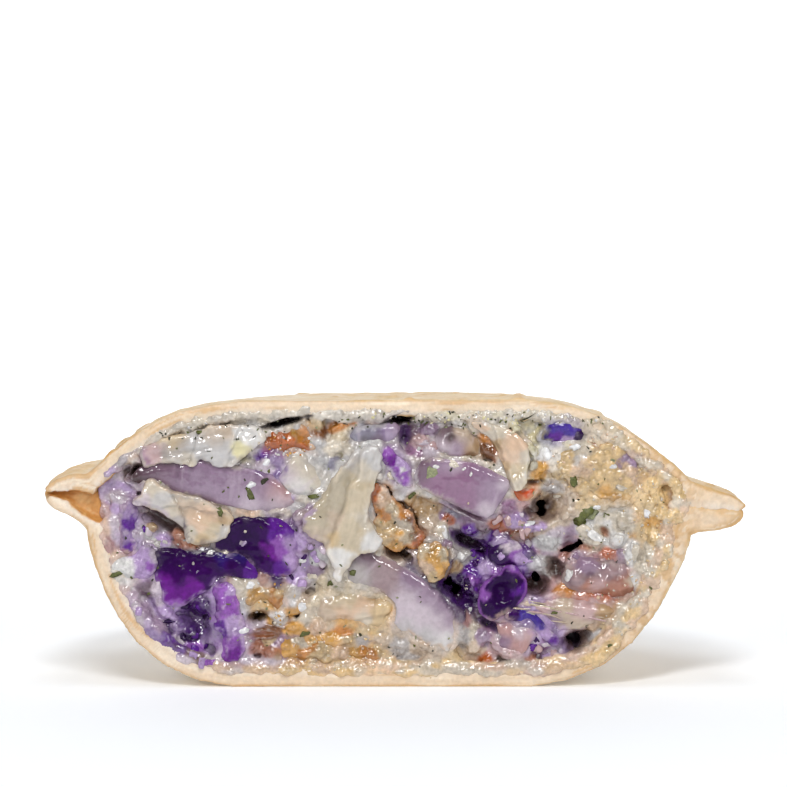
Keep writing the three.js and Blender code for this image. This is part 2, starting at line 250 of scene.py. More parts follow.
def voxel_mesh(name, parts, voxel):
    """One closed skin round all the parts, of even square faces."""
    rough = put_in_scene(name + "_rough", mesh_from(name + "_rough", *joined(parts)))
    remesh = rough.modifiers.new("skin", "REMESH")
    remesh.mode = "VOXEL"
    remesh.voxel_size = voxel * MM
    graph = bpy.context.evaluated_depsgraph_get()
    mesh = bpy.data.meshes.new_from_object(rough.evaluated_get(graph))
    mesh.name = name
    rough_mesh = rough.data
    bpy.data.objects.remove(rough)
    bpy.data.meshes.remove(rough_mesh)
    return mesh


def split_near_cut(mesh, reach):
    """Makes the faces near the cut half as large, for its finer detail."""
    fine = bmesh.new()
    fine.from_mesh(mesh)
    limit = (CUT + reach) * MM
    near = [face for face in fine.faces if face.calc_center_median().y < limit and face.normal.y < 0.3]
    edges = {edge for face in near for edge in face.edges}
    bmesh.ops.subdivide_edges(fine, edges=list(edges), cuts=1, use_grid_fill=True)
    fine.to_mesh(mesh)
    fine.free()


def neighbour_mean(edges, values):
    """The mean of each point's neighbours, for values of one number or of several a point."""
    count = len(values)
    table = values.reshape(count, -1)
    ends = np.concatenate([edges[:, 0], edges[:, 1]])
    others = np.concatenate([edges[:, 1], edges[:, 0]])
    share = np.maximum(np.bincount(ends, minlength=count), 1)
    columns = [np.bincount(ends, table[others, k], count) / share for k in range(table.shape[1])]
    return np.stack(columns, axis=1).reshape(values.shape)


def smooth(mesh, times, factor=0.6):
    edges = edges_of(mesh)
    points = points_of(mesh)
    for _ in range(times):
        points += factor * (neighbour_mean(edges, points) - points)
    put_points(mesh, points)


def fine_mesh(name, parts, voxel, reach):
    """The skin round all the parts, smoothed, with smaller faces as far behind the cut as reach."""
    mesh = voxel_mesh(name, parts, voxel)
    smooth(mesh, 1)
    split_near_cut(mesh, reach)
    smooth(mesh, 1)
    return mesh


def raise_relief(mesh, amount):
    """Moves every point outwards by its own amount."""
    put_points(mesh, points_of(mesh) + normals_of(mesh) * np.asarray(amount)[:, None])


def standing_out(mesh, spread=4):
    """How far each point stands out of the surface round it: ridges above zero, dips below."""
    edges = edges_of(mesh)
    points = points_of(mesh)
    mean = points
    for _ in range(spread):
        mean = neighbour_mean(edges, mean)
    return np.einsum("ij,ij->i", points - mean, normals_of(mesh))


def paint(mesh, colours):
    attribute = mesh.color_attributes.new(TINT, "FLOAT_COLOR", "POINT")
    rgba = np.ones((len(colours), 4))
    rgba[:, :3] = np.clip(colours, 0, 1)
    attribute.data.foreach_set("color", rgba.ravel())


def show(name, mesh, material, slot, replaces=()):
    """Puts a finished mesh into the scene as a piece of the pie."""
    mesh.materials.clear()
    mesh.materials.append(material)
    mesh.polygons.foreach_set("use_smooth", np.ones(len(mesh.polygons), bool))
    piece = put_in_scene(name, mesh)
    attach(piece, "root")
    if replaces:
        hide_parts(*replaces)
    return piece


def tree_of(parts):
    points, triangles = joined(parts)
    return BVHTree.FromPolygons(points.tolist(), triangles.tolist())


def distance_to(tree, points, where):
    """How far the chosen points are from a surface; the others count as touching it."""
    distance = np.zeros(len(points))
    for i in np.flatnonzero(where):
        distance[i] = tree.find_nearest(Vector(points[i]))[3]
    return distance


# Materials

NOISE_LOW, NOISE_HIGH = 0.3, 0.7  # what the values of a noise node mostly lie between
WET_PATCH = 3  # how many times larger than the mottle the wet and dry patches are


def food_material(name, roughness, mottle, bump, glow=None, shine=0.5):
    """The points' own colours with a finer mottle, fine bumps, and wet and dry patches, in millimetres.

    roughness: the two values that it runs between; mottle: size and amount; bump: size, depth and detail;
    glow: how much light goes in, how far each colour of it goes, and a scale for that.
    """
    mottle_size, mottle_amount = mottle
    bump_size, bump_depth, bump_detail = bump
    material = bpy.data.materials.new(name)
    material.use_nodes = True
    nodes, links = material.node_tree.nodes, material.node_tree.links
    shader = nodes["Principled BSDF"]
    shader.inputs["Specular IOR Level"].default_value = shine
    if glow:
        weight, radius, scale = glow
        shader.inputs["Subsurface Weight"].default_value = weight
        shader.inputs["Subsurface Radius"].default_value = radius
        shader.inputs["Subsurface Scale"].default_value = scale * MM

    place = nodes.new("ShaderNodeTexCoord")
    tint = nodes.new("ShaderNodeVertexColor")
    tint.layer_name = TINT

    def noise_node(size, detail):
        node = nodes.new("ShaderNodeTexNoise")
        node.inputs["Scale"].default_value = 1 / (size * MM)
        node.inputs["Detail"].default_value = detail
        links.new(place.outputs["Object"], node.inputs["Vector"])
        return node.outputs["Fac"]

    def spread(source, low, high):
        node = nodes.new("ShaderNodeMapRange")
        node.inputs["From Min"].default_value = NOISE_LOW
        node.inputs["From Max"].default_value = NOISE_HIGH
        node.inputs["To Min"].default_value = low
        node.inputs["To Max"].default_value = high
        links.new(source, node.inputs["Value"])
        return node.outputs["Result"]

    shade = nodes.new("ShaderNodeMix")
    shade.data_type = "RGBA"
    shade.blend_type = "MULTIPLY"
    shade.inputs["Factor"].default_value = 1
    links.new(tint.outputs["Color"], shade.inputs["A"])
    mottled = spread(noise_node(mottle_size, 3), 1 - mottle_amount, 1 + mottle_amount)
    links.new(mottled, shade.inputs["B"])
    links.new(shade.outputs["Result"], shader.inputs["Base Color"])
    links.new(spread(noise_node(WET_PATCH * mottle_size, 2), *roughness), shader.inputs["Roughness"])

    bumps = nodes.new("ShaderNodeBump")
    bumps.inputs["Strength"].default_value = 1
    bumps.inputs["Distance"].default_value = bump_depth * MM
    links.new(noise_node(bump_size, bump_detail), bumps.inputs["Height"])
    links.new(bumps.outputs["Normal"], shader.inputs["Normal"])
    return material


# For each: roughness, mottle, bump, glow and shine
MATERIAL_LOOKS = {
    "pastry": ((0.36, 0.6), (0.7, 0.08), (0.6, 0.1, 2), (0.12, (1.2, 0.8, 0.5), 1)),
    "creamy_sauce": ((0.05, 0.14), (0.55, 0.16), (0.75, 0.13, 1), (0.08, (1, 0.85, 0.7), 0.6), 0.85),
    "red_onion": ((0.06, 0.12), (0.7, 0.08), (1.1, 0.06, 1), (0.2, (1.2, 0.9, 1.1), 1), 0.6),
    "red_cabbage": ((0.05, 0.12), (0.5, 0.2), (0.8, 0.12, 1), (0.05, (0.8, 0.4, 1), 0.6), 0.3),
    "smooth_red_cabbage": ((0.08, 0.18), (0.6, 0.15), (1.3, 0.1, 1), (0.05, (0.8, 0.4, 1), 0.6), 0.14),
    "chicken": ((0.06, 0.16), (0.45, 0.14), (0.7, 0.12, 1), (0.1, (1.1, 0.8, 0.6), 0.6), 0.75),
    "pale_chicken": ((0.07, 0.18), (1.3, 0.08), (1, 0.09, 1), (0.2, (1.1, 0.9, 0.7), 0.8), 0.7),
    "herb": ((0.25, 0.5), (0.3, 0.3), (0.4, 0.06, 2)),
}
MATERIALS = {name: food_material(name, *look) for name, look in MATERIAL_LOOKS.items()}


# Outlines in the cut face

def closed_curve(corners, rounded=True, step=0.4):
    """A closed line through the corners, with a point about every step."""
    line = []
    for i in range(len(corners)):
        before, start, end, after = (corners[(i + k) % len(corners)] for k in (-1, 0, 1, 2))
        parts = max(2, round(np.linalg.norm(end - start) / step))
        for t in np.arange(parts) / parts:
            bend = t * (end - before) + t * t * (2 * before - 5 * start + 4 * end - after)
            bend = 0.5 * (bend + t ** 3 * (after - before + 3 * (start - end)))
            line.append(start + (bend if rounded else t * (end - start)))
    return np.array(line)


def line_normals(line):
    """The directions out of a closed line, whichever way round it runs."""
    ahead = np.roll(line, -1, axis=0) - np.roll(line, 1, axis=0)
    out = np.stack([ahead[:, 1], -ahead[:, 0]], axis=1)
    out /= np.maximum(np.linalg.norm(out, axis=1, keepdims=True), 1e-6)
    after = np.roll(line, -1, axis=0)
    return out * np.sign(np.sum(line[:, 0] * after[:, 1] - after[:, 0] * line[:, 1]))


def in_face(line, depth=0.0):
    """Points of the cut face as points in space."""
    return np.stack([line[:, 0], np.broadcast_to(depth, len(line)), line[:, 1]], axis=1)


def frayed(line, amount, seed):
    """The line with an uneven edge."""
    rough = layered(in_face(line), 1.8, seed) + 0.7 * layered(in_face(line), 0.7, seed + 1)
    return line + line_normals(line) * (amount * rough)[:, None]


def slab(line, front, back):
    """A closed solid between two depths, with the line as its outline."""
    count = len(line)
    fill = np.array(tessellate_polygon([[Vector((x, z, 0)) for x, z in line]]))
    ring = np.arange(count)
    after = np.roll(ring, -1)
    side = np.stack([ring, after, ring + count], axis=1)
    other_side = np.stack([after, after + count, ring + count], axis=1)
    faces = np.concatenate([fill, fill[:, ::-1] + count, side, other_side])
    return np.concatenate([in_face(line, front), in_face(line, back)]), faces


# Pastry

PASTRY_SEED = 20
RIM_HEIGHT = 0.6 * PIE_TOP
PIE_HEART = np.array([0, CUT + 12, RIM_HEIGHT])


def skin_trees(name):
    """The sheet's outer and inner skins without the cut, to measure how deep in it a point lies."""
    points, triangles = node_arrays(name)
    corners = points[triangles]
    facing = np.cross(corners[:, 1] - corners[:, 0], corners[:, 2] - corners[:, 0])
    outer = np.einsum("ij,ij->i", facing, corners.mean(axis=1) - PIE_HEART) > 0
    on_cut = np.abs(corners[:, :, 1] - CUT).max(axis=1) < 0.02
    return tree_of([(points, triangles[outer & ~on_cut])]), tree_of([(points, triangles[~outer & ~on_cut])])


def thicken_unevenly(mesh, inner_skin, seed):
    """Lets the sheet's inner side bulge unevenly into the filling near the cut."""
    points = points_of(mesh)
    amount = 0.9 * np.clip(0.2 + layered(points, 4, seed), 0, 1) * ease(4, 1.5, points[:, 1] - CUT)
    for i in np.flatnonzero(amount > 0.02):
        _, facing, _, away = inner_skin.find_nearest(Vector(points[i]))
        points[i] += np.array(facing) * amount[i] * max(0, 1 - away / 1.4)
    put_points(mesh, points)


# A thin fold of pastry behind the open mouth at the left of the rim, as x and height in the cut
WEB = """-57.2,32.4 -53.7,32.6 -50.9,32.8 -48.6,32.8 -47.2,30 -46,27 -45.8,24 -46.4,21.4 -47.8,22.6
    -49.4,24.8 -51,26.6 -54,28.8 -57,30.6"""
WEB_FRONT, WEB_BACK = 2.3, 6


class Sheet:
    """A pastry sheet's fine mesh, with what its looks are worked out from."""

    def __init__(self, name, seed):
        parts = [node_arrays(name)]
        if name == "pastry_base":
            parts.append(slab(closed_curve(corners_of(WEB)), CUT + WEB_FRONT, CUT + WEB_BACK))
        self.seed = seed
        self.mesh = fine_mesh(name, parts, CRUST_VOXEL, CRUST_REACH)
        outer_skin, inner_skin = skin_trees(name)
        thicken_unevenly(self.mesh, inner_skin, seed + 8)
        points = points_of(self.mesh)
        normals = normals_of(self.mesh)
        self.faces_front = ease(0.2, 0.6, -normals[:, 1])
        self.gap_side = ease(0.2, 0.7, normals[:, 2] if name == "pastry_base" else -normals[:, 2])
        self.cut = ease(0.3, 0.7, -normals[:, 1]) * ease(1.6, 0.8, points[:, 1] - CUT)
        self.measure_leaves(points, outer_skin, inner_skin)
        self.measure_grains(points)

    def measure_leaves(self, points, outer_skin, inner_skin):
        """How far from the outside a point of the cut lies, and the leaves that run along with it."""
        to_outer = distance_to(outer_skin, points, self.cut > 0)
        to_inner = distance_to(inner_skin, points, self.cut > 0)
        self.inwards = to_outer / np.maximum(to_outer + to_inner, 0.01)
        round_cut = np.arctan2(points[:, 2] - RIM_HEIGHT, 0.55 * points[:, 0])
        leaves = np.stack([to_outer / 0.45, round_cut * 4.5, np.full(len(points), self.seed)], axis=1)
        self.lamination = layered(leaves, 1.0, self.seed)

    def measure_grains(self, points):
        """Blisters of the skin, and the grains of the wall that crumbles at the right of the cut."""
        seed = self.seed
        self.crumbly = ease(28, 40, points[:, 0])
        self.in_wall = self.crumbly * ease(53, 46, points[:, 0])
        where = ease(-0.1, 0.4, noise(points, 9, seed + 11))
        self.blistered = where * ease(0.25, 0.7, noise(points, 2.6, seed + 9))
        self.grains = layered(points, 0.7, seed + 6)
        shifted = points + 0.5 * layered(points, 2.5, seed + 12)[:, None]
        self.grit, self.grit_label = granules(shifted, 1.3, seed + 13)

    def relief(self):
        """Swells and blisters on the skin, leaves in the cut, and no gap at the right of the rim."""
        seed = self.seed
        points = points_of(self.mesh)
        off_foot = ease(0.2, 1.5, points[:, 2])
        swell = 0.35 * layered(points, 11, seed) + 0.16 * layered(points, 3, seed + 5)
        swell += 0.06 * layered(points, 1.2, seed + 10)
        on_skin = (1 - self.cut) * (swell + 0.4 * self.blistered)
        in_cut = self.cut * (0.2 * self.lamination + 0.06 * layered(points, 1.1, seed + 4))
        rough = self.crumbly * (0.2 * self.grit - 0.07 + 0.2 * layered(points, 1.2, seed + 14))
        rough *= np.maximum(self.cut, 0.3)
        closed_seam = 0.2 * self.gap_side * ease(45, 48, points[:, 0]) * ease(25, 27, points[:, 2])
        raise_relief(self.mesh, off_foot * (on_skin + rough + 0.12) + in_cut + closed_seam)
        points = points_of(self.mesh)
        points[:, 2] = np.maximum(points[:, 2], 0)
        put_points(self.mesh, points)

    def skin(self, points, ridges):
        """The baked outside: pale dough, toasted in patches, on blisters and at the rim."""
        at_rim = ease(49, 57, np.hypot(points[:, 0], points[:, 1] - CUT))
        toast = 0.4 + 0.4 * layered(points, 13, self.seed + 2) + 0.3 * layered(points, 3.4, self.seed + 3)
        toast += 0.2 * self.blistered + 0.2 * at_rim
        colour = tinted(COLOURS["dough"], "crust", ease(0.05, 0.75, toast))
        colour = tinted(colour, "toasted", 0.55 * ease(0.6, 1.1, toast))
        return tinted(colour, "blister", 0.4 * ease(0.02, 0.12, ridges) * ease(0.2, 0.8, toast))

    def crumb(self, patch, ridges):
        """The cut edge: darker along its outside, in leaves, in grains where it crumbles, and with painted
        shade in its dips there.
        """
        leaves = self.lamination
        colour = tinted(COLOURS["crust_edge"], "soft_edge", ease(0, 0.22, self.inwards + 0.06 * leaves))
        colour = tinted(colour, "crumb", ease(0.45, 1, self.inwards + 0.1 * leaves))
        colour = tinted(colour, "buttery", 0.7 * ease(0.2, 0.5, leaves + 0.35 * patch))
        colour = tinted(colour, "floury", 0.6 * ease(0.15, 0.5, -leaves - 0.3 * patch))
        grain = ease(0.3, 0.9, self.grit_label + 0.3 * self.grains + 0.4 * patch)
        colour = tinted(colour, "grain", 0.55 * self.in_wall * grain)
        # painted shade: the dips of the crumbling wall are darkened
        return tinted(colour, "crack", 0.5 * self.in_wall * ease(0.03, 0.14, -ridges))

    def colour(self):
        """The skin, the cut edge, and the golden inside of the open mouth."""
        points = points_of(self.mesh)
        ridges = standing_out(self.mesh)
        patch = layered(points, 6, self.seed + 7)
        golden = tinted(COLOURS["fried"], "honey", ease(0, 0.6, patch + 0.6 * self.grains))
        at_mouth = ease(-42, -46, points[:, 0]) * ease(20, 23, points[:, 2]) * ease(8, 6, points[:, 1] - CUT)
        hidden = np.maximum(self.gap_side, self.faces_front) * (1 - self.cut)
        colour = mix(self.skin(points, ridges), self.crumb(patch, ridges), self.cut)
        return mix(colour, golden, 0.9 * at_mouth * hidden)


for number, name in enumerate(CRUST_NODES):
    sheet = Sheet(name, PASTRY_SEED + number)
    sheet.relief()
    paint(sheet.mesh, sheet.colour())
    show(name, sheet.mesh, MATERIALS["pastry"], "pastry", [name])


# Colours of the cut face

def colour_field(points, spots, spread=1.0):
    """Colours that run into each other between spots of the cut face, written as "x,z,reach,colour ..."."""
    total = np.zeros((len(points), 3))
    weight = np.full((len(points), 1), 1e-9)
    for spot in spots.split():
        x, z, reach, name = spot.split(",")
        away = np.hypot(points[:, 0] - float(x), points[:, 2] - float(z)) / (spread * float(reach))
        share = (np.exp(-2.2 * away * away) + 1e-4 / (1 + away ** 4))[:, None]
        total += share * COLOURS[name]
        weight += share
    return total / weight


# Large pieces of filling: each is a slab with the outline that it shows in the cut

PIECE_SEED, PIECE_SEED_STEP = 40, 7
OVERLAP = 0.25  # how far a piece's outline is let out, to meet the sauce


class Piece:
    """A piece's fine mesh, with what its looks are worked out from."""

    def __init__(self, node, seed, like, outline, fray, spots, slot=None, forms="", steps="", rim=None,
                 crinkled=1.0, merge=0.5, proud=0.6):
        self.seed = seed
        self.spots = spots
        self.rim = rim
        self.slot = slot or SLOT_OF[like]
        self.crinkled = crinkled
        self.proud = proud
        front, self.back = (corner.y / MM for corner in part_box(node))
        self.front = min(front, CUT)
        line = closed_curve(corners_of(outline), rounded=like in (leaf, meat))
        self.line = frayed(line + OVERLAP * line_normals(line), fray, seed)
        self.mesh = voxel_mesh(node, [slab(self.line, self.front, self.back)], PIECE_VOXEL)
        smooth(self.mesh, 1, 0.5)
        self.measure()
        self.push(0.2 * ease(0, 0.8, self.inside))
        self.dip_edge(merge)
        self.dent = 0
        for form in forms.split():
            self.raise_form(*map(float, form.split(",")))
        for step in steps.split():
            self.raise_step(*map(float, step.split(",")))

    def dip_edge(self, merge):
        """Lets the edge dip into the sauce: all round where merge is 1 or more, else in places."""
        uneven = ease(-0.3, 0.3, noise(self.points, 4, self.seed + 40)) if merge < 1 else 1
        self.push(-merge * uneven * ease(1.6, 0, self.inside))

    def raise_form(self, x, z, reach, height):
        """A soft swelling, or a hollow where its height is below zero."""
        away = np.hypot(self.points[:, 0] - x, self.points[:, 2] - z) / reach
        self.push(height * np.exp(-1.5 * away * away))
        self.dent = max(self.dent, -height)

    def raise_step(self, x, z, end_x, end_z, width, height):
        """A step up to the right of a line that wanders a little."""
        ahead = np.array([end_x - x, end_z - z]) / math.hypot(end_x - x, end_z - z)
        shift = 0.7 * layered(self.points, 2.5, self.seed + 30)
        beside = (self.points[:, 0] - x) * ahead[1] - (self.points[:, 2] - z) * ahead[0] + shift
        self.push(height * ease(-width, width, beside))

    def measure(self):
        self.points = points_of(self.mesh)
        flat = self.points[:, [0, 2]]
        spread = self.line - self.line.mean(axis=0)
        along = np.linalg.eigh(spread.T @ spread)[1][:, 1]
        run = (flat - self.line.mean(axis=0)) @ along
        rise = (flat - self.line.mean(axis=0)) @ np.array([-along[1], along[0]])
        self.grain = np.stack([run, rise, self.points[:, 1]], axis=1)
        self.inside = np.min(np.linalg.norm(flat[:, None] - self.line[None], axis=2), axis=1)
        self.facing = ease(self.back, self.front, self.points[:, 1])

    def push(self, height):
        """Moves the front outwards, towards the viewer of the cut, and the back not at all."""
        points = self.points.copy()
        points[:, 1] -= height * self.facing
        put_points(self.mesh, points)
        self.points = points

    def relief(self, amount):
        raise_relief(self.mesh, amount)
        self.measure()

    def colour(self, wander, calm=0.0, spread=1.0):
        """The colours of the piece's spots, with uneven borders between them, and of its rim."""
        shift = np.stack([layered(self.points, 1.8, self.seed + 11 + 3 * k, 4) for k in range(3)], axis=1)
        colour = colour_field(self.points + wander * shift, self.spots, spread)
        colour = mix(colour, colour.mean(axis=0), np.full(len(colour), calm))
        if self.rim:
            name, width, strength = self.rim.split(",")
            uneven = float(width) * (1 + 0.7 * noise(self.points, 1.2, self.seed + 15))
            colour = mix(colour, COLOURS[name], float(strength) * ease(0, -0.25, self.inside - uneven))
        return colour


def onion(piece):
    """A smooth wet slice, faintly streaked across its length."""
    seed = piece.seed
    streaks = layered(piece.grain, (0.9, 7, 7), seed)
    piece.relief(0.12 * layered(piece.grain, 3, seed + 1) + 0.04 * streaks)
    cloud = layered(piece.grain, 1.6, seed + 2)
    colour = piece.colour(0.5, 0.1, 1.6) * (1 + 0.08 * streaks + 0.06 * cloud)[:, None]
    return tinted(colour, "pale_lilac", 0.3 * ease(0.2, 0.6, streaks))


def leaf(piece):
    """Red cabbage: wet and crinkled, with painted pale glints on its ridges."""
    seed = piece.seed
    crinkle = layered(piece.grain, (1.8, 1.1, 1.4), seed)
    rough = piece.crinkled * ease(-0.3, 0.6, noise(piece.points, 4, seed + 4))
    pimples = layered(piece.points, 0.6, seed + 7)
    swell = 0.22 * layered(piece.grain, 3, seed + 1)
    piece.relief(swell + (0.08 + 0.3 * rough) * crinkle + 0.1 * rough * pimples)
    ridges = standing_out(piece.mesh, 5)
    colour = piece.colour(1.2) * (1 + 0.25 * layered(piece.grain, 1.2, seed + 2))[:, None]
    # painted highlight: pale glints on the ridges where the leaf is crinkled
    painted_glints = ease(0.03, 0.14, ridges) * ease(0, 0.5, noise(piece.points, 0.9, seed + 6))
    return tinted(colour, "pale_lilac", 0.45 * painted_glints * rough)


def flake(piece):
    """Pale chicken in sauce: folded, fibrous and torn, with edges that curl forwards in places."""
    seed = piece.seed
    curled = ease(1.3, 0.2, piece.inside) * ease(-0.1, 0.4, noise(piece.points, 3.5, seed + 8))
    piece.push(0.5 * curled)
    fibres = layered(piece.grain, (5, 0.7, 0.7), seed)
    folds = layered(piece.points, (4.5, 3, 4.5), seed + 2)
    creases = 1 - np.abs(noise(piece.grain, (8, 2.4, 3), seed + 9))
    fine = layered(piece.points, 0.7, seed + 5)
    piece.relief(0.12 * folds + 0.35 * creases + 0.12 * fibres + 0.03 * fine - 0.2)
    ridges = standing_out(piece.mesh, 5)
    cloud = layered(piece.points, 1.8, seed + 3)
    # painted light and shade: ridges lighter and dips darker, with fibres and a random cloud in the tone
    shade = 1 + 0.1 * fibres + 0.12 * cloud + 0.9 * np.clip(ridges, -0.25, 0.15)
    return tinted(piece.colour(1.0, 0.1, 1.1), "ivory", 0.35 * curled) * shade[:, None]


def meat(piece):
    """Browned or crumbled chicken: uneven packed grains, painted lighter on their backs and with painted
    shade between them.
    """
    seed = piece.seed
    backs, label = granules(piece.points + 0.8 * layered(piece.points, 2, seed + 4)[:, None], 1.9, seed)
    fine, _ = granules(piece.points, 0.8, seed + 1)
    swell = layered(piece.points, 3, seed + 2)
    piece.relief(0.28 * backs + 0.12 * fine + 0.45 * swell - 0.2)
    cloud = layered(piece.points, 1.2, seed + 3)
    # painted light and shade: grain backs lighter and joints darker, with a random tone for each grain and a
    # cloud
    shade = 0.72 + 0.25 * backs + 0.12 * fine + 0.25 * (label - 0.5) + 0.15 * cloud
    return piece.colour(1.6, 0.15) * shade[:, None]


ONION, PALE_ONION, CABBAGE = "red_onion", "pale_onion", "red_cabbage"
CHICKEN, BROWNED = "chicken", "browned_chicken"

# What each kind is made of, and the slot of its pieces that name no other
MATERIAL_OF = {onion: "red_onion", leaf: "red_cabbage", flake: "pale_chicken", meat: "chicken"}
SLOT_OF = {onion: ONION, leaf: CABBAGE, flake: CHICKEN, meat: BROWNED}

